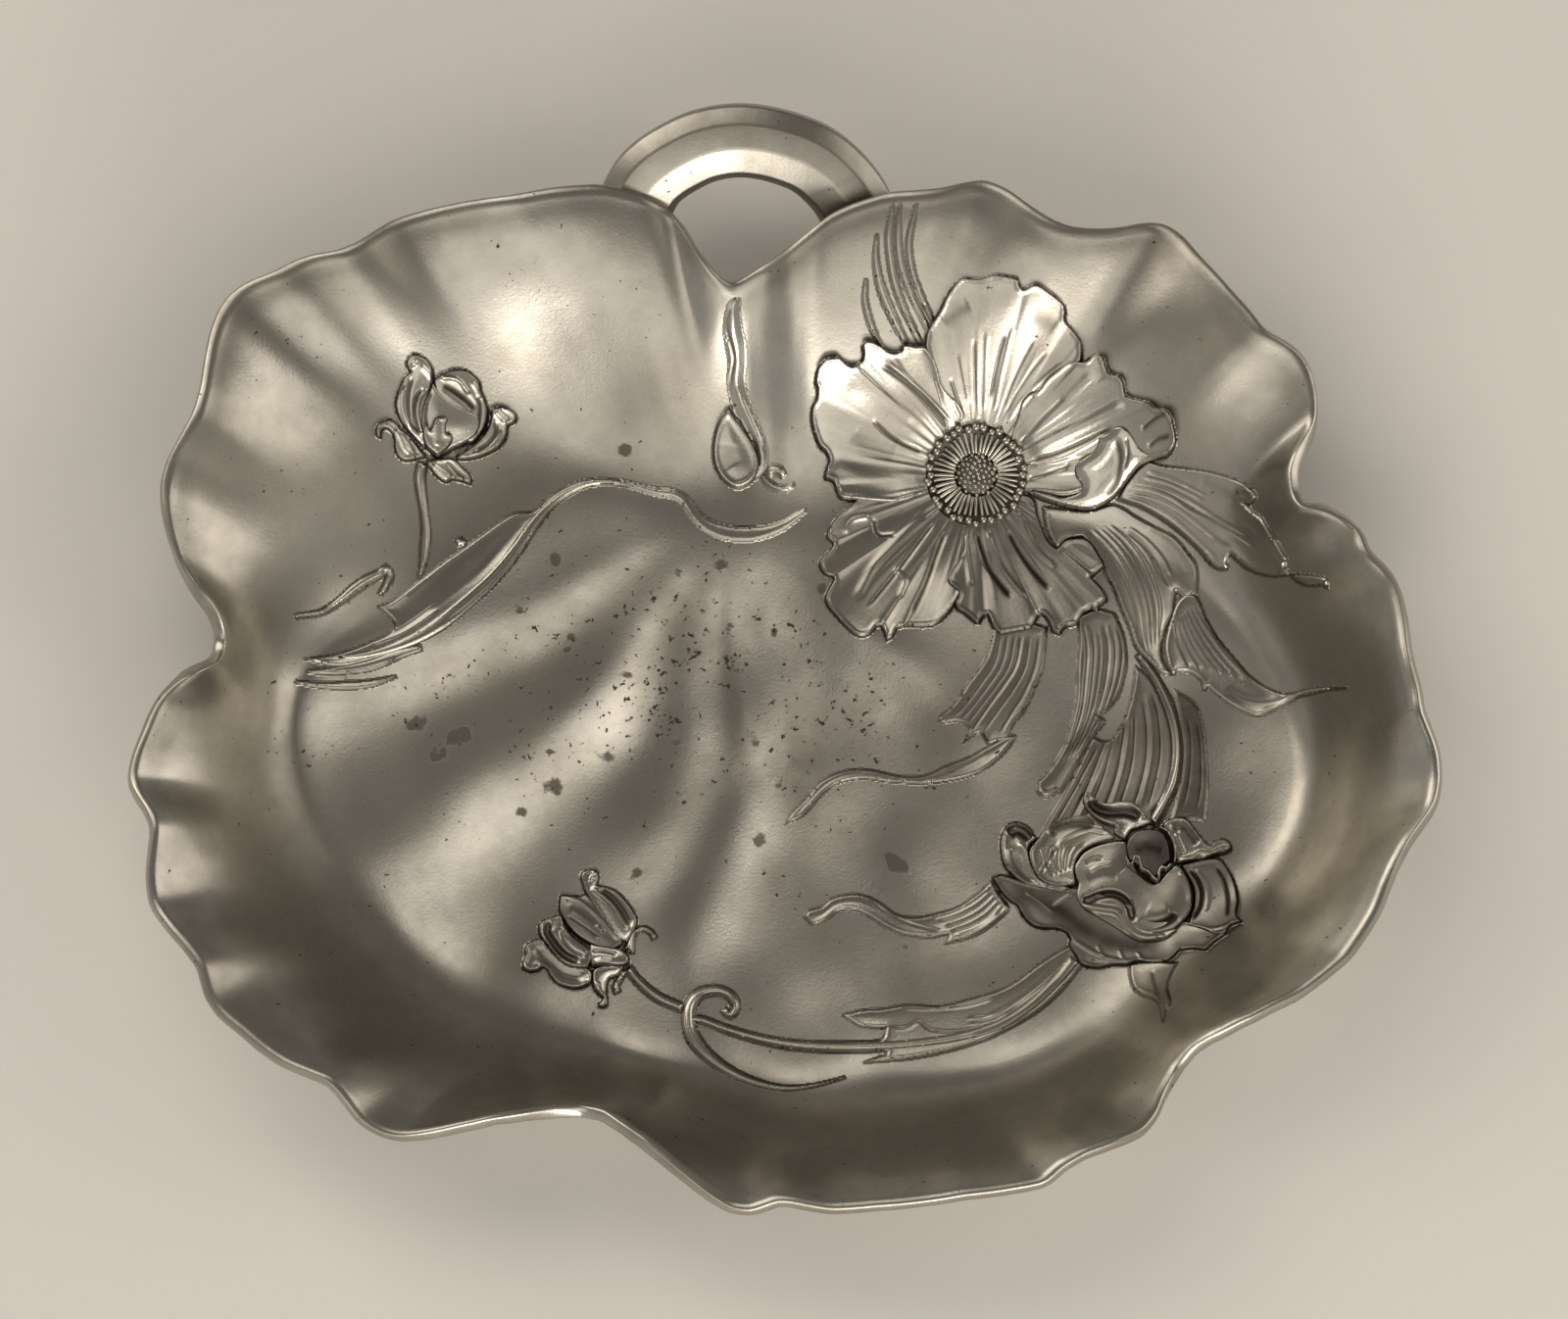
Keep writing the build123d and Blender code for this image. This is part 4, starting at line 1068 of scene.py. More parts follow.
filament_places, filament_edges = [], []
for i in range(filament_count):
    turn = i * 2 * math.pi / filament_count + wobble.uniform(-0.02, 0.02)
    reach = wobble.uniform(41, 45)
    points_px = [flower_point(radius, turn) for radius in np.linspace(23, reach, filament_points)]
    rise = 1.15 + 0.5 * np.sin(np.linspace(0.15, 0.9, filament_points) * math.pi)
    first = len(filament_places)
    filament_edges += [(first + k, first + k + 1) for k in range(filament_points - 1)]
    filament_places += lifted(points_px, rise).tolist()
grow("filaments", filament_places, filament_edges, {"Radius": 0.00040, "Thin Share": 0.5}, threads,
     "poppy_stamens")

anthers_px = []
for i in range(anther_count):
    turn = i * 2 * math.pi / anther_count + wobble.uniform(-0.03, 0.03)
    radius = anther_px + 1.8 * math.sin(i * 2.4) + wobble.uniform(-0.6, 0.6)
    anthers_px.append(flower_point(radius, turn))
grow("anthers", lifted(anthers_px, 1.65), [],
     {"Bead Radius": 0.00090, "Roundness": 3, "Smallest": 0.8, "Seed": 11}, beads, "poppy_anthers")

# %% [markdown]
# ## Leaves, ribbons and stems
#
# Below the flower its leaves hang down in narrow strands, and long ribbons flow across the leaf. They are
# flat castings with a raised edge and fine flutes, which catch the light as thin lines. Stems, ribs and
# the lines up to the rim are narrow ribbons with a rounded back. Each call gives a name, the node that the
# piece stands for, its height, its outline, and then its ridges and grooves.

# %% Helpers for leaves, stems and petals
def leaf_shape(height, rolled, hollow):
    """A flat casting with a rolled edge and a slightly hollow middle."""
    def shape(points, depth):
        return height + rolled * bell(depth - 0.45, 0.4) - hollow * ease(depth / 2.5)
    return shape


def round_shape(height, base, width):
    """A swelling casting: base is its height at the edge, width how fast it swells."""
    def shape(points, depth):
        return base + (height - base) * (1 - bell(depth, width))
    return shape


def flutes(first, last, count, width, height):
    """Lines spread evenly from one picture line to another."""
    first, last = np.asarray(first, float), np.asarray(last, float)
    return [(first + (last - first) * share, width, height) for share in np.linspace(0, 1, count)]


def lay_leaf(name, node, height, stretches, lines, rolled=0.07, hollow=0.12, grime_and_shade=0.8, patina_and_shade=0.0):
    lay_motif(name, outline_of(stretches), node, leaf_shape(height, rolled, hollow), edge=0.65, lines=lines,
              grime_and_shade=grime_and_shade, patina_and_shade=patina_and_shade)


def lay_petal(name, node, height, stretches, lines, rolled=0.14, patina_and_shade=0.0):
    """A leaf-like part that lies on others, so its dark outline of painted shade runs up its own edge."""
    lay_motif(name, outline_of(stretches), node, leaf_shape(height, rolled, 0.15), lines=lines, grime_and_shade=1.1,
              patina_and_shade=patina_and_shade, film_and_shade_at=0.06)


def lay_swell(name, node, height, base, width, stretches, lines, patina_and_shade=0.0):
    """A part that swells from its edge, with a dark outline of painted shade like that of lay_petal."""
    lay_motif(name, outline_of(stretches), node, round_shape(height, base, width), edge=0.5, lines=lines,
              grime_and_shade=1.1, patina_and_shade=patina_and_shade, film_and_shade_at=0.06, passes=40)


def ribbon_outline(points_px, widths):
    """The outline of a narrow ribbon along picture points, with its widths in millimetres from end to end."""
    line = on_leaf(smooth_line(points_px, ribbon_step_px))
    along = directions(line)
    half = np.interp(np.linspace(0, 1, len(line)), np.linspace(0, 1, len(widths)), widths)[:, None] / 2
    side = np.column_stack([-along[:, 1], along[:, 0]])
    return np.concatenate([line + side * half, (line - side * half)[::-1]])


def lay_stem(name, node, height, points_px, widths, lines=(), base=0.45, width=0.7, edge=0.6, grime_and_shade=0.95):
    lay_motif(name, ribbon_outline(points_px, widths), node, round_shape(height, base, width), edge=edge,
              lines=lines, grime_and_shade=grime_and_shade)


# %% The leaf to the right of the flower
lay_leaf("leaf_right_blade", "leaf_right", 0.85, [
    [(1173, 471), (1187, 475), (1211, 478), (1232, 481), (1251, 486), (1269, 493), (1278, 500)],
    [(1282, 507), (1276, 514), (1269, 513)],
    [(1278, 522), (1288, 530), (1297, 544), (1305, 557), (1313, 570)],
    [(1311, 577), (1317, 586), (1324, 593), (1336, 598), (1347, 597), (1354, 600)],
    [(1352, 591), (1339, 588), (1324, 587), (1313, 587), (1301, 588), (1290, 586), (1278, 582), (1269, 576),
     (1257, 565)],
    [(1253, 572), (1255, 580)],
    [(1244, 580), (1234, 572), (1227, 563), (1217, 553), (1202, 540), (1185, 528), (1165, 517), (1142, 509)],
    [(1150, 494), (1162, 479)],
], [
    ([(1150, 497), (1173, 498), (1196, 507), (1217, 521), (1244, 534), (1267, 548), (1286, 563)],
     0.24, -0.33),
    ([(1155, 493), (1187, 497), (1209, 507), (1232, 521), (1255, 536), (1282, 553)], 0.22, -0.25),
    ([(1152, 495), (1180, 498), (1203, 508), (1225, 522), (1250, 536), (1275, 551)], 0.30, 0.17),
    ([(1147, 506), (1167, 510), (1190, 522), (1209, 537), (1230, 556), (1246, 572)], 0.22, -0.23),
    ([(1150, 502), (1175, 506), (1200, 517), (1222, 533), (1246, 552), (1262, 562)], 0.22, -0.21),
    ([(1150, 504), (1175, 508), (1200, 520), (1220, 535), (1240, 552)], 0.30, 0.15),
    ([(1170, 480), (1196, 488), (1215, 497), (1236, 508)], 0.20, -0.21),
    ([(1166, 486), (1190, 492), (1211, 501), (1232, 512)], 0.20, -0.21),
    ([(1168, 483), (1193, 490), (1213, 499)], 0.30, 0.15),
    ([(1225, 492), (1246, 500), (1262, 512)], 0.9, -0.12),
    ([(1262, 530), (1280, 545), (1296, 562), (1310, 582), (1330, 593)], 0.45, 0.16),
    ([(1262, 503), (1270, 500), (1278, 504), (1274, 510)], 0.45, 0.36),
])

# %% The inner leaf and the fluted leaf
lay_leaf("leaf_back_blade", "leaf_back", 0.7, [
    [(1085, 519), (1112, 521), (1139, 515), (1163, 528), (1183, 539), (1200, 548), (1213, 563), (1222, 576),
     (1224, 591), (1223, 605)],
    [(1213, 612), (1202, 603)],
    [(1200, 613), (1199, 626), (1192, 641), (1187, 657), (1187, 670), (1192, 682), (1197, 689)],
    [(1186, 686), (1176, 678), (1166, 668)],
    [(1160, 660), (1154, 641), (1146, 622), (1139, 603), (1129, 582), (1121, 565), (1106, 548)],
    [(1092, 550), (1080, 558), (1070, 540), (1066, 517)],
], [
    ([(1148, 540), (1167, 555), (1181, 572), (1190, 591), (1199, 603)], 0.24, -0.33),
    ([(1152, 537), (1172, 552), (1188, 570), (1198, 590)], 0.35, 0.20),
    ([(1170, 538), (1190, 552), (1206, 570), (1214, 592)], 1.1, -0.13),
    *flutes([(1112, 540), (1128, 556), (1142, 574), (1154, 598), (1162, 624), (1167, 650), (1172, 668)],
            [(1134, 532), (1154, 549), (1171, 570), (1182, 594), (1188, 620), (1186, 642), (1184, 664)],
            5, 0.22, -0.26),
    *flutes([(1116, 539), (1132, 555), (1147, 573), (1159, 598), (1167, 624), (1171, 648)],
            [(1130, 534), (1149, 550), (1166, 571), (1177, 595), (1183, 620), (1182, 644)], 3, 0.36, 0.16),
])
lay_leaf("leaf_fluted_blade", "leaf_fluted", 0.85, [
    [(1223, 609), (1232, 630), (1244, 651), (1261, 672), (1278, 691), (1294, 702), (1309, 708), (1320, 708),
     (1336, 704), (1353, 702), (1374, 702)],
    [(1352, 705), (1338, 709), (1328, 711), (1317, 718), (1303, 725), (1286, 731), (1271, 727), (1255, 718),
     (1244, 710), (1234, 701)],
    [(1230, 705), (1227, 695), (1217, 687), (1206, 685), (1198, 689)],
    [(1193, 679), (1190, 660), (1194, 639), (1202, 616), (1212, 606)],
], [
    *flutes([(1200, 634), (1203, 652), (1209, 668), (1216, 682)],
            [(1220, 616), (1238, 646), (1260, 674), (1284, 698)], 7, 0.22, -0.30),
    *flutes([(1202, 630), (1207, 650), (1216, 668), (1226, 684)],
            [(1218, 618), (1234, 646), (1255, 674), (1277, 697)], 5, 0.30, 0.17),
    ([(1252, 704), (1270, 715), (1292, 718), (1310, 714)], 0.9, -0.20),
    ([(1284, 728), (1303, 722), (1318, 714), (1340, 706), (1362, 703)], 0.35, 0.16),
])

# %% Leaves that hang below the flower
lay_leaf("hanging_left_blade", "leaf_hanging_left", 0.55, [
    [(1010, 664), (1003, 679), (990, 696), (978, 714), (968, 725), (958, 733)],
    [(962, 738), (975, 736), (984, 738)],
    [(990, 744), (984, 758)],
    [(1000, 748), (1009, 759), (1018, 757), (1028, 757)],
    [(1034, 740), (1046, 726), (1057, 702), (1066, 679), (1069, 640)],
    [(1042, 634), (1015, 640)],
], [
    ([(1043, 648), (1037, 679), (1025, 699), (1010, 720), (996, 740), (987, 753)], 0.26, -0.25),
    ([(1047, 648), (1041, 680), (1029, 701), (1013, 722), (999, 743)], 0.28, 0.15),
    *flutes([(1022, 646), (1016, 676), (1002, 698), (984, 722), (970, 734)],
            [(1037, 646), (1031, 678), (1018, 700), (1001, 722), (986, 742)], 3, 0.2, -0.15),
    *flutes([(1052, 648), (1047, 681), (1035, 704), (1018, 728), (1004, 748)],
            [(1062, 648), (1057, 681), (1046, 708), (1031, 732), (1020, 752)], 2, 0.2, -0.17),
], rolled=0.05, patina_and_shade=0.36)
lay_leaf("hanging_middle_blade", "leaf_hanging_middle", 0.65, [
    [(1103, 652), (1101, 679), (1100, 714), (1095, 737), (1088, 761), (1078, 778), (1066, 793), (1060, 798)],
    [(1060, 810), (1069, 814), (1084, 808)],
    [(1098, 784), (1110, 761), (1119, 749), (1128, 737), (1122, 731)],
    [(1131, 725), (1142, 711), (1148, 693), (1151, 673), (1148, 649), (1139, 626)],
    [(1120, 622), (1100, 630)],
], [
    *flutes([(1106, 636), (1110, 663), (1108, 695), (1104, 728), (1094, 758), (1080, 785)],
            [(1140, 636), (1146, 660), (1144, 688), (1136, 714), (1124, 738), (1108, 766)], 6, 0.22, -0.26),
    *flutes([(1109, 636), (1114, 663), (1112, 695), (1108, 728), (1098, 758)],
            [(1130, 636), (1136, 661), (1134, 690), (1127, 716), (1115, 745)], 3, 0.34, 0.16),
    ([(1062, 808), (1070, 810), (1080, 806)], 0.5, 0.30),
], rolled=0.05, patina_and_shade=0.36)
lay_leaf("strands_blade", "leaf_strands", 0.6, [
    [(1131, 757), (1143, 745), (1152, 725), (1158, 700), (1160, 680)],
    [(1176, 695), (1189, 723), (1196, 752), (1196, 784), (1188, 814), (1176, 830)],
    [(1170, 852), (1130, 862), (1090, 864), (1062, 853)],
    [(1076, 830), (1090, 806), (1102, 782), (1116, 753)],
], [
    *flutes([(1122, 760), (1108, 786), (1094, 812), (1076, 842)],
            [(1176, 706), (1183, 736), (1184, 775), (1172, 826)], 7, 0.22, -0.28),
    *flutes([(1138, 750), (1128, 780), (1114, 810), (1098, 842)],
            [(1170, 706), (1176, 736), (1176, 775), (1164, 826)], 3, 0.36, 0.16),
    ([(1118, 756), (1128, 756), (1140, 748), (1145, 744)], 0.4, 0.26),
], rolled=0.05, patina_and_shade=0.42)
lay_leaf("low_leaf_blade", "leaf_low", 0.55, [
    [(1153, 996), (1157, 1009), (1166, 1016), (1176, 1019), (1182, 1025), (1185, 1042)],
    [(1188, 1030), (1193, 1022), (1190, 1008), (1194, 995), (1201, 983)],
    [(1178, 981), (1153, 984)],
], [
    ([(1176, 990), (1178, 1005), (1183, 1022)], 0.3, -0.20),
    ([(1160, 1008), (1170, 1012), (1176, 1014)], 0.4, 0.17),
], patina_and_shade=0.3)

# %% Faint lines from the flower up to the rim
for order, (points_px, widths) in enumerate([
    ([(913, 201), (909, 222), (907, 242), (909, 264), (914, 290), (923, 315), (933, 336), (940, 350)],
     [0.5, 1.3, 1.5, 1.3, 0.6]),
    ([(920, 201), (917, 224), (917, 250), (921, 275), (930, 300), (941, 322), (950, 340)],
     [0.4, 1.2, 1.4, 1.0, 0.5]),
    ([(936, 203), (932, 224), (928, 244), (929, 264), (933, 282), (940, 300), (948, 318), (953, 328)],
     [0.5, 1.0, 1.2, 1.0, 0.6]),
    ([(895, 240), (894, 262), (897, 284), (904, 306), (914, 328), (925, 349)], [0.4, 1.2, 1.8, 1.8, 0.8]),
    ([(884, 285), (883, 304), (887, 324), (894, 342), (901, 354)], [0.4, 1.1, 1.2, 0.6]),
]):
    lay_stem(f"leaf_to_rim_line_{order + 1}", "leaf_to_rim", 0.48, points_px, widths, base=0.3, width=0.6,
             grime_and_shade=0.6)

# %% Ribbons
lay_leaf("ribbon_middle_blade", "ribbon_middle", 0.5, [
    [(808, 830), (822, 816), (838, 798), (860, 788), (885, 786), (920, 793), (945, 792), (965, 783),
     (988, 774), (1008, 763), (1028, 752)],
    [(1037, 753), (1020, 774), (998, 789), (970, 797), (940, 800), (905, 798), (880, 795), (855, 800),
     (838, 812), (820, 832), (802, 841)],
], [
    ([(846, 797), (870, 790), (900, 793), (930, 798), (960, 792), (990, 780), (1014, 766)], 0.24, -0.17),
    ([(812, 836), (830, 818), (850, 802), (878, 797), (905, 800), (940, 802)], 0.35, 0.17),
], rolled=0.08, patina_and_shade=0.2)
lay_leaf("ribbon_low_blade", "ribbon_low", 0.6, [
    [(825, 930), (838, 926), (848, 918), (862, 914), (880, 914), (898, 922), (915, 934), (935, 937),
     (960, 932), (980, 925), (1000, 911), (1012, 899)],
    [(1020, 914), (1029, 927), (1020, 938), (1004, 950), (987, 958), (965, 963)],
    [(967, 954), (950, 957), (936, 956), (920, 953), (905, 947), (888, 936), (872, 929), (856, 930),
     (843, 939), (830, 944), (821, 936)],
], [
    ([(824, 940), (836, 941), (852, 930), (868, 927), (886, 934), (905, 945), (928, 954), (962, 955)],
     0.34, 0.28),
    ([(886, 918), (902, 930), (922, 941), (945, 948), (964, 951)], 0.24, -0.26),
    *flutes([(950, 938), (972, 932), (992, 922), (1010, 908)],
            [(975, 957), (995, 950), (1012, 940), (1025, 926)], 5, 0.22, -0.24),
    ([(966, 960), (985, 955), (1004, 946), (1022, 932)], 0.30, 0.20),
])
lay_leaf("ribbon_left_blade", "ribbon_left", 0.5, [
    [(640, 492), (620, 488), (592, 490), (565, 503), (543, 521), (525, 523), (510, 531), (492, 544),
     (470, 560), (450, 574), (425, 594), (398, 614), (384, 619)],
    [(400, 634), (398, 644), (370, 658), (340, 668), (308, 673)],
    [(345, 680), (385, 671), (415, 660), (445, 640), (465, 624), (492, 600), (516, 568), (536, 540),
     (562, 513), (592, 497), (625, 494), (654, 499)],
], [
    ([(450, 569), (430, 587), (408, 605), (388, 618)], 0.32, 0.20),
    ([(456, 570), (434, 590), (412, 609)], 0.24, -0.20),
    ([(536, 530), (514, 556), (488, 584), (460, 606), (430, 628)], 0.8, -0.09),
    ([(443, 616), (422, 632), (400, 645), (372, 655), (330, 668)], 0.24, -0.25),
    ([(447, 620), (426, 636), (403, 649), (376, 659)], 0.30, 0.16),
])
lay_stem("ribbon_left_fold", "ribbon_left", 0.85, [
    (648, 495), (618, 491), (592, 495), (565, 510), (545, 531), (525, 560), (502, 588), (474, 614),
    (445, 637), (412, 655), (372, 668), (325, 673),
], [0.5, 1.0, 1.8, 2.6, 3.0, 3.2, 3.2, 2.6, 1.8, 0.6], [
    ([(592, 500), (566, 516), (546, 538), (527, 565), (504, 592), (476, 618), (446, 641)], 0.26, -0.24),
    ([(560, 510), (540, 532), (520, 560), (498, 586), (470, 611), (440, 634)], 0.30, 0.17),
], base=0.6, width=0.6)
lay_stem("ribbon_left_tips", "leaf_bowl", 0.5, [(428, 661), (405, 667), (378, 678), (345, 684), (312, 686)],
         [1.4, 2.6, 2.6, 1.8, 0.5], [([(420, 668), (395, 674), (365, 682), (335, 685)], 0.24, -0.20)],
         grime_and_shade=0.7)
lay_stem("ribbon_left_last_tip", "leaf_bowl", 0.4,
         [(402, 691), (375, 698), (345, 700), (320, 699), (300, 696)], [0.5, 1.6, 1.8, 1.2, 0.5], grime_and_shade=0.6)
lay_stem("ribbon_left_curl", "leaf_bowl", 0.9, [
    (300, 629), (325, 625), (345, 613), (360, 601), (373, 592), (386, 585), (392, 580), (396, 587),
    (392, 597), (386, 606),
], [0.6, 0.8, 1.0, 1.4, 1.9, 2.0, 1.6, 1.6, 0.8])
lay_stem("ribbon_left_bead", "leaf_bowl", 0.9, [(464, 554), (468, 552), (473, 555)], [1.2, 1.7, 1.2])
lay_stem("floor_fold_line", "leaf_bowl", 0.42, [
    (632, 491), (650, 496), (670, 501), (686, 503), (697, 509), (704, 518), (712, 528), (726, 538),
    (748, 544), (775, 543), (800, 535), (822, 520),
], [1.0, 1.4, 1.8, 2.4, 3.0, 3.0, 2.0, 0.6], edge=1.3, grime_and_shade=0.25)

# %% Stems
lay_stem("left_bud_stalk", "stem_left_bud", 0.9, [
    (430, 472), (427, 484), (428, 500), (431, 520), (433, 540), (432, 558), (430, 574), (426, 590),
], [2.0, 2.2, 1.9, 1.7, 1.9, 2.1, 1.6, 0.4], [
    ([(428, 484), (430, 505), (434, 530), (435, 560)], 0.24, -0.21),
])
lay_stem("lower_bud_stalk", "stem_lower_bud", 1.0, [
    (641, 988), (648, 998), (658, 1008), (670, 1017), (682, 1023), (697, 1029),
], [1.6, 2.0, 2.1, 2.0], [([(643, 986), (652, 998), (666, 1010), (684, 1020)], 0.24, -0.24)])
lay_stem("half_open_stalk", "stem_half_open", 1.3, [
    (1163, 668), (1180, 692), (1195, 724), (1202, 760), (1199, 795), (1188, 820), (1176, 842),
], [1.4, 2.4, 2.8, 2.6], [
    ([(1165, 675), (1182, 700), (1196, 735), (1200, 768), (1194, 800), (1180, 832)], 0.28, -0.30),
    ([(1168, 672), (1186, 700), (1200, 735), (1204, 768), (1199, 802)], 0.28, 0.16),
])
lay_leaf("half_open_stalk_leaf", "leaf_bowl", 0.32, [
    [(1216, 714), (1224, 724)],
    [(1229, 745), (1232, 775), (1233, 805), (1230, 838)],
    [(1212, 836), (1196, 838)],
    [(1202, 815), (1208, 785), (1209, 755), (1204, 725), (1200, 705)],
], [
    *flutes([(1212, 730), (1216, 760), (1214, 795), (1208, 825)],
            [(1222, 735), (1226, 765), (1226, 800), (1222, 828)], 2, 0.24, -0.16),
], rolled=0.05, hollow=0.0, grime_and_shade=0.5, patina_and_shade=0.6)
lay_leaf("long_stem_leaf", "leaf_bowl", 0.5, [
    [(880, 1031), (900, 1030), (925, 1026), (960, 1027), (990, 1020), (1020, 1011), (1040, 1000), (1060, 985),
     (1080, 972), (1093, 965)],
    [(1104, 985)],
    [(1088, 1006), (1065, 1028), (1040, 1044), (1008, 1060), (970, 1072), (930, 1080), (882, 1084)],
    [(905, 1074), (880, 1068)],
    [(900, 1060), (904, 1049)],
    [(885, 1048), (876, 1046), (860, 1036)],
], [
    ([(906, 1049), (925, 1049), (938, 1043), (950, 1052), (980, 1053), (1010, 1047)], 0.26, -0.22),
    ([(918, 1029), (950, 1030), (985, 1027), (1015, 1019)], 0.24, -0.18),
    *flutes([(985, 1040), (1012, 1036), (1038, 1022), (1064, 1002), (1088, 980)],
            [(990, 1064), (1018, 1054), (1046, 1036), (1072, 1014), (1096, 988)], 5, 0.24, -0.25),
    *flutes([(1000, 1039), (1024, 1034), (1046, 1022), (1070, 1004), (1092, 984)],
            [(985, 1066), (1012, 1057), (1040, 1041), (1066, 1020), (1092, 996)], 3, 0.36, 0.20),
    ([(885, 1083), (930, 1078), (970, 1070), (1000, 1060)], 0.30, 0.16),
], rolled=0.08, hollow=0.05)
lay_stem("long_stem_rib", "stem_long", 1.1, [
    (700, 1040), (716, 1041), (740, 1050), (770, 1059), (800, 1065), (835, 1068), (880, 1068), (930, 1065),
    (980, 1058), (1020, 1046), (1050, 1028), (1078, 1002), (1098, 978),
], [1.6, 1.8, 2.0, 2.3, 2.4, 2.4, 2.6, 2.8, 3.0, 3.2], [
    ([(735, 1044), (770, 1054), (810, 1060), (850, 1062), (890, 1061), (930, 1059)], 0.24, -0.23),
    ([(990, 1058), (1024, 1045), (1054, 1026), (1082, 1000)], 0.26, -0.26),
])
lay_stem("long_stem_tendril", "tendril", 1.15, [
    (738, 1030), (745, 1036), (751, 1028), (745, 1016), (730, 1011), (713, 1015), (704, 1027), (703, 1043),
    (707, 1058), (718, 1073), (735, 1087), (755, 1098), (778, 1106), (803, 1110), (832, 1107), (862, 1099),
], [1.4, 2.0, 2.4, 2.9, 3.0, 2.6, 2.0, 1.4, 1.0, 0.6, 0.3], [
    ([(741, 1034), (745, 1026), (740, 1019), (729, 1016), (717, 1020), (709, 1030), (708, 1044), (712, 1058)],
     0.26, -0.28),
])

# %% The stalk at the notch and its drop
lay_stem("notch_stalk", "stem_drop", 1.0, [
    (752, 303), (748, 318), (748, 336), (751, 354), (752, 372), (751, 388), (754, 404), (760, 420),
    (768, 438), (776, 456), (777, 472), (770, 486),
], [1.2, 2.8, 3.8, 4.0, 3.6, 3.4, 3.6, 3.6, 3.2, 2.6, 2.0, 1.2], [
    ([(747, 310), (742, 324), (742, 338), (746, 352), (749, 366), (746, 382), (744, 398)], 0.28, -0.36),
    ([(752, 392), (757, 408), (766, 428), (774, 448), (776, 464)], 0.45, 0.22),
], base=0.35, width=1.5, edge=1.5, grime_and_shade=0.3)
drop_outline = outline_of([
    [(739, 422), (733, 431), (729, 443), (727, 457), (728, 471), (733, 484), (742, 494), (752, 498),
     (762, 495), (770, 488), (774, 477), (772, 463), (765, 448), (756, 435), (748, 424), (744, 414)],
])


def drop_shape(points, depth):
    """A flat bead with a raised edge."""
    return 1.3 + 0.3 * bell(depth - 0.55, 0.42) + 0.25 * ease((depth - 1.0) / 3.0)


lay_motif("stem_drop_bead", drop_outline, "stem_drop", drop_shape, edge=0.6,
          lines=[([(742, 452), (741, 466), (747, 478)], 1.8, -0.12)], grime_and_shade=0.8, film_and_shade_at=0.0, passes=3)
lay_stem("stem_drop_hook", "leaf_bowl", 0.8, [(777, 484), (783, 491), (792, 497), (803, 498), (810, 494)],
         [1.0, 1.3, 1.2, 0.6], grime_and_shade=0.6)
lay_stem("stem_drop_curl", "leaf_bowl", 0.9, [(783, 484), (788, 479), (795, 480), (800, 485)],
         [1.2, 2.2, 2.0, 1.0], grime_and_shade=0.6)

# %% [markdown]
# ## Buds and the half-open poppy
#
# A bud is a bundle of petals, so it is laid petal by petal, the rearmost first and lowest. Each swells from
# its edge and carries the lines seen on it. The pointed sepals that hold it are thin hooks.

# %% The left bud
lay_swell("left_bud_back", "left_bud", 1.5, 1.0, 1.6, [
    [(447, 383), (453, 380), (460, 377), (468, 376), (476, 378), (483, 383), (488, 389), (490, 398),
     (494, 408), (497, 418)],
    [(495, 432), (488, 444), (478, 452), (460, 440), (446, 420), (441, 388)],
], [
    ([(447, 386), (455, 386), (463, 387), (470, 392), (474, 398), (479, 403)], 0.36, 0.65),
    ([(450, 393), (458, 397), (468, 404), (477, 411), (483, 419)], 0.8, -0.50),
    ([(480, 390), (485, 397), (489, 407)], 0.30, 0.40),
    ([(486, 404), (489, 416), (487, 432), (482, 444)], 0.34, -0.50),
], patina_and_shade=0.12)
lay_swell("left_bud_left", "left_bud", 1.7, 1.0, 1.5, [
    [(441, 380), (439, 373), (435, 367), (429, 363), (423, 361), (418, 363), (414, 368), (414, 374),
     (418, 380)],
    [(411, 386), (407, 394), (404, 402), (402, 413), (404, 423), (408, 431), (414, 439), (422, 448),
     (432, 458)],
    [(436, 440), (434, 420), (441, 388)],
], [
    ([(420, 384), (416, 398), (415, 414), (418, 430), (424, 442)], 0.34, -0.60),
    ([(412, 394), (409, 408), (411, 424), (418, 438)], 0.40, 0.30),
    ([(432, 397), (424, 406), (421, 418), (422, 431), (427, 444)], 0.30, -0.65),
    ([(436, 396), (428, 406), (425, 418), (426, 430), (431, 446)], 0.34, 0.45),
    ([(420, 370), (423, 374)], 0.8, 0.6),
    ([(428, 374), (435, 380), (440, 387)], 0.40, 0.40),
])
lay_swell("left_bud_middle", "left_bud", 2.5, 1.6, 3.6, [
    [(446, 398), (455, 407), (466, 414), (478, 419), (487, 424)],
    [(489, 434), (485, 444), (476, 451), (462, 458), (446, 466)],
    [(436, 456), (430, 444), (428, 430), (430, 414), (435, 402), (441, 389)],
], [
    ([(440, 399), (435, 410), (433, 424), (434, 438)], 0.30, -0.45),
])
lay_petal("left_bud_crown", "left_bud", 3.1, [
    [(430, 439), (433, 433)],
    [(438, 440)],
    [(441, 432), (446, 427), (458, 426)],
    [(455, 436), (455, 444)],
    [(462, 444)],
    [(461, 452), (455, 460), (445, 467)],
    [(434, 458), (430, 448)],
], [([(445, 432), (445, 446), (444, 458)], 0.8, 0.2)], rolled=0.1)
lay_petal("left_bud_right", "left_bud_outer_petal", 1.5, [
    [(508, 415), (517, 416), (524, 421), (526, 426), (523, 431), (517, 434)],
    [(515, 446), (508, 456), (498, 462), (485, 467), (470, 469), (463, 467)],
    [(474, 460), (486, 451), (495, 440), (499, 429), (500, 418)],
], [
    ([(504, 420), (510, 426), (515, 431)], 0.6, 0.65),
    ([(504, 430), (505, 442), (497, 453), (484, 461)], 0.34, -0.60),
    ([(510, 438), (505, 450), (494, 459), (478, 465)], 0.5, 0.24),
])
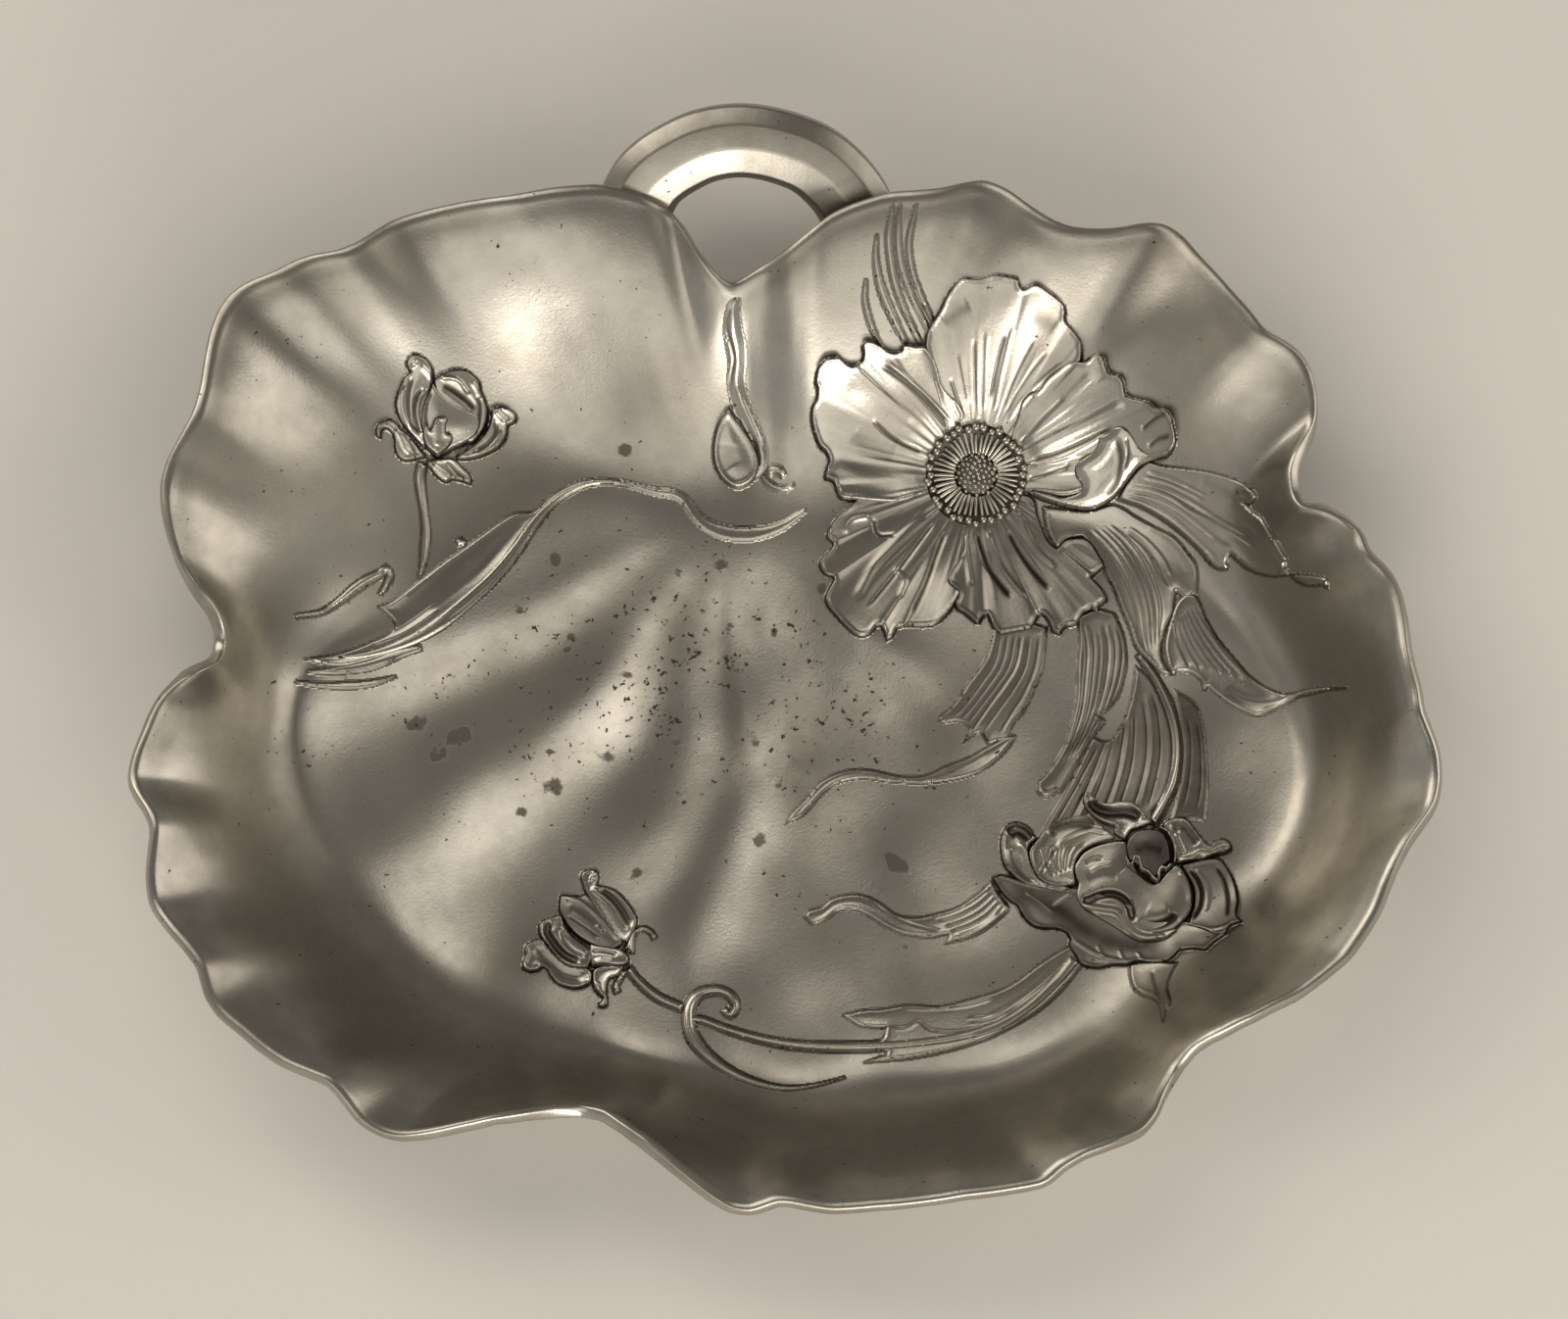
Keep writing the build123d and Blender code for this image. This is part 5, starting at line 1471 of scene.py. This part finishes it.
lay_petal("left_bud_left_sepal", "left_bud_sepals", 1.2, [
    [(395, 428), (402, 431), (408, 438), (415, 443), (421, 450), (427, 458), (434, 466)],
    [(426, 468), (417, 470), (410, 470), (404, 465), (401, 457), (401, 449), (398, 441), (392, 437),
     (388, 440)],
    [(387, 447), (384, 446), (382, 440), (384, 434), (388, 431)],
], [
    ([(402, 438), (408, 448), (412, 458), (418, 464)], 0.5, 0.35),
    ([(410, 442), (417, 452), (422, 462)], 0.3, -0.5),
])
lay_petal("left_bud_low_sepal", "left_bud_sepals", 1.2, [
    [(445, 468), (457, 467), (464, 470), (471, 477), (477, 483), (480, 490), (478, 494)],
    [(470, 491), (460, 489)],
    [(454, 492), (447, 489), (440, 482), (433, 471)],
], [
    ([(440, 474), (448, 482), (456, 488)], 0.4, 0.4),
    ([(455, 471), (462, 479), (474, 489)], 0.3, -0.5),
])

# %% The lower bud
lay_petal("lower_bud_right", "lower_bud", 1.2, [
    [(594, 903), (592, 895), (595, 890), (603, 888), (609, 890), (611, 897), (609, 904)],
    [(618, 906), (628, 910), (634, 915), (641, 923), (647, 932), (650, 941), (647, 952)],
    [(640, 962), (628, 958), (614, 940), (604, 924), (597, 912)],
], [
    ([(603, 895), (606, 896)], 1.0, 0.7),
    ([(602, 907), (612, 914), (622, 923), (629, 932), (635, 942), (642, 951)], 0.5, 0.70),
    ([(611, 908), (624, 917), (635, 930), (643, 946)], 0.55, -0.65),
    ([(634, 916), (642, 926), (648, 938)], 0.26, 0.40),
])
lay_swell("lower_bud_back", "lower_bud", 1.9, 1.2, 2.0, [
    [(580, 914), (590, 915), (598, 912)],
    [(606, 920), (616, 931), (625, 943), (633, 956), (636, 964)],
    [(622, 972), (604, 966), (588, 956), (577, 944), (570, 930), (571, 914)],
], [
    ([(575, 918), (588, 920), (600, 928), (612, 939), (622, 950), (632, 962)], 0.34, 0.50),
    ([(580, 928), (592, 934), (604, 943), (616, 954)], 0.9, -0.22),
    ([(578, 936), (590, 944), (602, 952), (612, 960)], 0.28, -0.35),
    ([(606, 922), (616, 934), (625, 947), (632, 958)], 0.34, -0.60),
    ([(608, 946), (615, 953)], 0.3, 0.3),
], patina_and_shade=0.25)
lay_petal("lower_bud_low_petal", "lower_bud", 1.3, [
    [(545, 960), (538, 964), (535, 970), (536, 976), (533, 984), (534, 990), (541, 993), (549, 992)],
    [(553, 988), (558, 990)],
    [(562, 998), (569, 1005), (577, 1008), (586, 1010), (596, 1008), (604, 1003)],
    [(602, 990), (580, 985), (564, 972), (553, 958)],
], [
    ([(546, 966), (552, 976), (562, 986), (576, 996), (596, 1000)], 0.9, -0.35),
    ([(562, 999), (575, 1007), (590, 1008), (602, 1003)], 0.34, 0.35),
    ([(535, 987), (542, 990), (549, 989)], 0.6, 0.45),
])
lay_swell("lower_bud_front", "lower_bud", 2.3, 1.9, 1.6, [
    [(572, 933), (563, 937), (553, 941), (549, 947), (551, 957), (556, 963), (562, 971), (568, 979),
     (576, 986), (587, 990), (599, 990)],
    [(604, 982), (604, 972), (594, 964), (585, 957), (578, 948), (574, 938), (571, 924)],
], [
    ([(562, 942), (558, 952), (566, 966), (577, 977), (592, 983)], 0.75, -1.05),
    ([(572, 930), (562, 938), (552, 944), (552, 956), (561, 970), (572, 982), (588, 988), (598, 988)],
     0.40, 0.50),
    ([(575, 946), (578, 958), (588, 968), (600, 976)], 0.5, 0.24),
    ([(572, 950), (574, 961), (584, 972), (597, 979)], 0.26, -0.45),
])
lay_swell("lower_bud_calyx", "lower_bud", 2.7, 2.0, 1.2, [
    [(612, 966), (624, 968), (634, 970), (641, 976), (642, 984)],
    [(634, 988), (622, 988), (612, 988), (603, 988)],
    [(601, 976), (601, 964)],
], [([(606, 985), (614, 983), (626, 985)], 0.5, 0.4), ([(604, 974), (616, 973), (630, 977)], 0.3, -0.35)])
lay_petal("lower_bud_hook_sepal", "lower_bud_sepals", 1.1, [
    [(606, 1010), (611, 1016), (615, 1020), (610, 1026), (614, 1029), (620, 1026), (620, 1018)],
    [(619, 1009), (622, 1000), (632, 996), (637, 986)],
    [(622, 984), (606, 990), (604, 1001)],
], [([(609, 1002), (612, 1012), (618, 1020)], 0.4, 0.35)])
lay_stem("lower_bud_small_sepal", "lower_bud_sepals", 1.0,
         [(636, 990), (632, 1000), (628, 1008), (630, 1013)], [2.0, 1.4, 1.2, 1.4])
lay_stem("lower_bud_right_sepal", "lower_bud_sepals", 1.3, [
    (641, 972), (643, 962), (645, 955), (650, 950), (657, 948), (664, 952), (668, 958),
], [2.6, 2.0, 1.3, 1.0, 1.1, 1.0])

# %% The half-open poppy: petals behind
# The patina values of these petals also paint the shade that lies on the half-open poppy
lay_petal("half_open_back", "half_open_back_petal", 1.5, [
    [(1068, 846), (1076, 840), (1088, 835), (1100, 833), (1110, 834), (1122, 841), (1134, 850), (1141, 857)],
    [(1122, 862), (1108, 869), (1100, 878), (1097, 890), (1099, 904)],
    [(1085, 907), (1070, 905), (1059, 898), (1052, 885), (1050, 870), (1060, 856)],
], [
    ([(1070, 853), (1084, 843), (1102, 840), (1120, 844)], 1.3, -0.60),
    ([(1078, 868), (1086, 859), (1100, 852), (1116, 848), (1132, 852)], 0.34, 0.50),
    *flutes([(1063, 866), (1067, 880), (1076, 896)], [(1108, 862), (1098, 872), (1092, 890)], 5, 0.26, -0.34),
    ([(1062, 892), (1070, 880), (1077, 868)], 0.28, -0.50),
], rolled=0.2)
lay_petal("half_open_left", "half_open_left_petal", 1.6, [
    [(1056, 854), (1053, 848), (1047, 843), (1038, 840), (1030, 842), (1024, 849), (1021, 860), (1022, 875),
     (1026, 886), (1034, 895), (1043, 902), (1056, 907), (1070, 910), (1085, 912), (1095, 908)],
    [(1084, 904), (1072, 903), (1062, 898), (1055, 888), (1051, 875), (1051, 864), (1060, 857)],
], [
    ([(1029, 853), (1037, 848), (1046, 851), (1053, 858)], 1.1, -1.35),
    ([(1040, 860), (1046, 871), (1049, 884), (1057, 897), (1070, 906)], 0.6, 0.55),
    ([(1031, 866), (1034, 880), (1043, 893), (1056, 902)], 0.7, -0.35),
], rolled=0.2)
lay_petal("half_open_top", "half_open_top_petal", 2.3, [
    [(1107, 810), (1113, 810), (1118, 815), (1125, 820), (1136, 820), (1150, 818), (1160, 821), (1167, 829),
     (1173, 836), (1178, 842)],
    [(1165, 847), (1156, 850), (1150, 858), (1143, 857), (1136, 852)],
    [(1137, 845), (1128, 843), (1119, 838), (1110, 829), (1105, 820), (1106, 814)],
], [
    ([(1111, 818), (1119, 827), (1132, 831), (1150, 831), (1166, 836)], 0.95, -1.35),
    ([(1108, 822), (1114, 832), (1124, 839), (1135, 841)], 0.36, 0.45),
    ([(1122, 824), (1140, 822), (1156, 824), (1165, 832)], 0.30, 0.35),
], rolled=0.2)
lay_petal("half_open_right", "half_open_right_petal", 1.6, [
    [(1191, 839), (1198, 836), (1206, 835), (1214, 839), (1221, 848), (1228, 857), (1235, 863), (1241, 859),
     (1249, 857), (1256, 861), (1258, 867)],
    [(1252, 872), (1240, 875), (1228, 879), (1214, 881), (1202, 883)],
    [(1198, 868), (1187, 843)],
], [
    ([(1196, 848), (1206, 843), (1215, 852), (1224, 863)], 0.9, -0.60),
    ([(1204, 880), (1218, 877), (1226, 872), (1236, 873), (1247, 868), (1255, 866)], 0.45, 0.55),
    ([(1200, 852), (1206, 864), (1210, 874)], 0.3, 0.3),
], rolled=0.16)
lay_stem("half_open_pod_collar", "half_open_right_petal", 2.3, [
    (1184, 845), (1192, 850), (1198, 860), (1200, 872), (1199, 883),
], [0.8, 1.3, 1.4, 1.0], base=1.4)

# %% The half-open poppy: petals in front
lay_petal("half_open_outer", "half_open_outer_petal", 1.3, [
    [(1220, 880), (1235, 877), (1246, 878), (1256, 891), (1262, 906), (1264, 920), (1262, 934), (1267, 941)],
    [(1256, 945), (1250, 953), (1240, 955), (1226, 950), (1211, 946)],
    [(1216, 934), (1219, 920), (1217, 905), (1205, 884)],
], [
    ([(1213, 888), (1222, 898), (1227, 912), (1225, 928), (1217, 940)], 0.34, -0.65),
    ([(1219, 888), (1229, 900), (1233, 916), (1230, 934)], 0.5, 0.28),
    ([(1240, 884), (1250, 900), (1254, 920), (1252, 938)], 0.34, -0.40),
    ([(1222, 946), (1236, 949), (1250, 946), (1262, 941)], 0.35, 0.30),
], rolled=0.16, patina_and_shade=0.34)
lay_petal("half_open_lower_lip", "half_open_lip", 1.0, [
    [(1016, 903), (1022, 912), (1030, 920), (1038, 925), (1042, 933), (1048, 941), (1056, 947), (1066, 949),
     (1078, 949), (1088, 953), (1092, 959)],
    [(1091, 966), (1097, 976), (1104, 986), (1120, 989), (1135, 986), (1150, 986), (1160, 982)],
    [(1172, 984), (1185, 983), (1195, 979), (1203, 971)],
    [(1215, 969), (1230, 970)],
    [(1240, 961), (1252, 953)],
    [(1235, 945), (1200, 938), (1150, 922), (1110, 908), (1080, 906), (1048, 901), (1025, 894), (1012, 896)],
], [
    ([(1030, 904), (1056, 918), (1082, 930), (1102, 946), (1128, 960), (1160, 968), (1198, 964)], 2.0, -0.26),
    ([(1046, 912), (1062, 922), (1076, 934)], 0.3, 0.22),
    ([(1120, 966), (1124, 974), (1130, 980)], 0.3, 0.26),
    ([(1142, 970), (1144, 976), (1148, 981)], 0.3, 0.26),
    ([(1160, 972), (1164, 978), (1168, 982)], 0.3, 0.26),
    ([(1022, 911), (1038, 926), (1050, 942), (1066, 948), (1086, 952), (1098, 962), (1116, 973), (1138, 981),
      (1166, 982), (1190, 980)], 0.45, 0.50),
    ([(1074, 926), (1084, 920), (1094, 914)], 0.3, 0.25),
    ([(1104, 984), (1122, 988), (1144, 985)], 0.34, 0.35),
], rolled=0.18, patina_and_shade=0.32)
lay_swell("half_open_front_left", "half_open_front_petal", 2.2, 1.5, 4.0, [
    [(1138, 859), (1128, 861), (1116, 865), (1107, 870), (1100, 878), (1096, 886), (1097, 896), (1100, 903)],
    [(1098, 912), (1099, 920), (1106, 930), (1118, 937), (1130, 944), (1141, 951), (1151, 958), (1162, 963),
     (1176, 963), (1190, 960), (1203, 951)],
    [(1185, 930), (1168, 905), (1150, 859)],
], [
    ([(1103, 919), (1111, 920), (1121, 916), (1132, 914), (1142, 916), (1151, 923), (1155, 934), (1156, 943)],
     0.62, -1.45),
    ([(1102, 926), (1115, 928), (1128, 930), (1139, 932), (1146, 939), (1151, 948), (1160, 956), (1174, 959),
      (1190, 955)], 0.60, 0.80),
    ([(1108, 884), (1116, 879), (1126, 878)], 0.35, -0.28),
    ([(1112, 892), (1122, 886), (1136, 884)], 0.35, 0.20),
    ([(1110, 902), (1124, 896), (1142, 896)], 1.0, -0.16),
])
lay_swell("half_open_front_right", "half_open_front_petal", 2.7, 1.9, 4.0, [
    [(1163, 893), (1178, 903), (1190, 892), (1199, 884), (1207, 887), (1214, 899), (1218, 912), (1218, 925),
     (1214, 936), (1205, 946), (1196, 952), (1180, 955), (1166, 952)],
    [(1159, 943), (1157, 930), (1152, 919), (1142, 911), (1136, 904), (1140, 893), (1150, 884)],
], [
    ([(1204, 892), (1210, 903), (1214, 915), (1214, 925)], 0.34, 0.45),
    ([(1162, 945), (1176, 946), (1190, 943), (1203, 935)], 0.9, -0.60),
    ([(1170, 930), (1182, 934), (1194, 930)], 1.4, 0.16),
], patina_and_shade=0.30)
lay_swell("half_open_pod", "half_open_seed_pod", 3.1, 2.5, 2.4, [
    [(1150, 860), (1156, 852), (1165, 848), (1176, 847), (1186, 850), (1192, 858), (1195, 868), (1196, 881)],
    [(1188, 888), (1180, 898), (1170, 892), (1160, 886), (1151, 880), (1148, 868)],
], [([(1158, 872), (1172, 868), (1188, 872)], 1.2, -0.12)], patina_and_shade=0.62)
lay_stem("half_open_pod_teeth", "half_open_seed_pod", 3.5, [
    (1149, 876), (1153, 885), (1156, 884), (1158, 877), (1162, 876), (1164, 884), (1166, 889), (1172, 892),
    (1177, 898), (1182, 901), (1183, 893), (1186, 887), (1191, 889), (1196, 883),
], [0.9, 1.1, 0.9, 1.2, 1.0, 1.3, 1.4, 1.0, 1.3, 0.8], base=2.6, width=0.35, edge=0.4)

# %% [markdown]
# ## Floor, light and camera
#
# A pale floor, a soft sky that is a little darker overhead, and five wide lamps. A satin metal shows its
# shape by what it reflects, so the light differs from side to side: that draws the folds and the relief.

# %% Floor
floor_width = 8.0           # in metres


def build_floor():
    material = bpy.data.materials.new("pale_paper_floor")
    material.use_nodes = True
    shader = material.node_tree.nodes["Principled BSDF"]
    shader.inputs["Base Color"].default_value = colour("#d9d5ce")
    shader.inputs["Roughness"].default_value = 0.9
    half = floor_width / 2
    corners = [(-half, -half, 0), (half, -half, 0), (half, half, 0), (-half, half, 0)]
    mesh = bpy.data.meshes.new("floor")
    mesh.from_pydata(corners, [], [(0, 1, 2, 3)])
    mesh.materials.append(material)
    floor = bpy.data.objects.new("floor", mesh)
    bpy.context.scene.collection.objects.link(floor)


build_floor()


# %% Light
def add_lamp(name, place, size, power, warmth, aim=(0, 0, 0.02)):
    """A wide lamp: places and sizes in metres, power in watts."""
    lamp = bpy.data.lights.new(name, "AREA")
    lamp.shape = "RECTANGLE"
    lamp.size, lamp.size_y = size
    lamp.energy = power
    lamp.color = colour(warmth)[:3]
    holder = bpy.data.objects.new(name, lamp)
    holder.location = place
    holder.rotation_euler = (Vector(aim) - Vector(place)).to_track_quat("-Z", "Y").to_euler()
    bpy.context.scene.collection.objects.link(holder)


# The sky darkens towards a direction a little behind the top
sky_axis = (0.06, 0.30, 0.93)
sky_shades = [(0.0, "#dedcd8"), (0.3, "#b5b3af"), (0.65, "#85837f"), (1.0, "#6a6865")]
sky_strength = 0.75


def build_sky():
    world = bpy.data.worlds.new("soft_studio")
    bpy.context.scene.world = world
    world.use_nodes = True
    tree = world.node_tree
    tree.nodes.clear()
    view = add_node(tree, "ShaderNodeTexCoord")
    towards = add_node(tree, "ShaderNodeVectorMath", {"operation": "DOT_PRODUCT"},
                       {0: view.outputs["Generated"], 1: sky_axis})
    sky = add_ramp(tree, towards.outputs["Value"], [(place, colour(shade)) for place, shade in sky_shades])
    shade = add_node(tree, "ShaderNodeBackground", None, {"Color": sky, "Strength": sky_strength})
    add_node(tree, "ShaderNodeOutputWorld", None, {"Surface": shade.outputs["Background"]})


build_sky()
warm, faintly_warm = "#fff8ee", "#fffaf2"
add_lamp("key_left", (-0.75, 0.55, 0.75), (0.75, 0.75), 4.6, warm)
add_lamp("front_low", (0.25, -1.0, 0.42), (0.8, 0.25), 6.0, faintly_warm)
add_lamp("front_panel", (-0.15, -0.85, 1.15), (1.5, 0.8), 3.9, faintly_warm)
add_lamp("right_side", (0.95, 0.1, 0.45), (0.6, 1.1), 3.4, warm)
add_lamp("overhead_panel", (-0.3, 0.75, 1.5), (0.9, 0.75), 3.6, faintly_warm, aim=(-0.3, 0.55, 0))

# %% Camera
picture_width_px = 1600
aim_row_px, aim_height = 673, 18.0  # what the middle of the picture looks at
lens, sensor_width = 400.0, 36.0    # a long lens, so that the view is nearly without perspective


def build_camera():
    camera = bpy.data.objects.new("camera", bpy.data.cameras.new("camera"))
    bpy.context.scene.collection.objects.link(camera)
    camera.data.sensor_width = sensor_width
    camera.data.lens = lens
    camera.data.clip_end = 100.0
    away = picture_width_px * scale * metres / 2 / (sensor_width / 2 / lens)
    up = (picture_middle_px[1] - aim_row_px) * scale
    aim = Vector((0, ((up - aim_height * view_drop) / view_rise - middle_y) * metres, aim_height * metres))
    look = Vector((0, view_drop, -view_rise))
    camera.location = aim - look * away
    camera.rotation_euler = look.to_track_quat("-Z", "Y").to_euler()
    bpy.context.scene.camera = camera
    bpy.context.scene.view_settings.view_transform = "Standard"


build_camera()
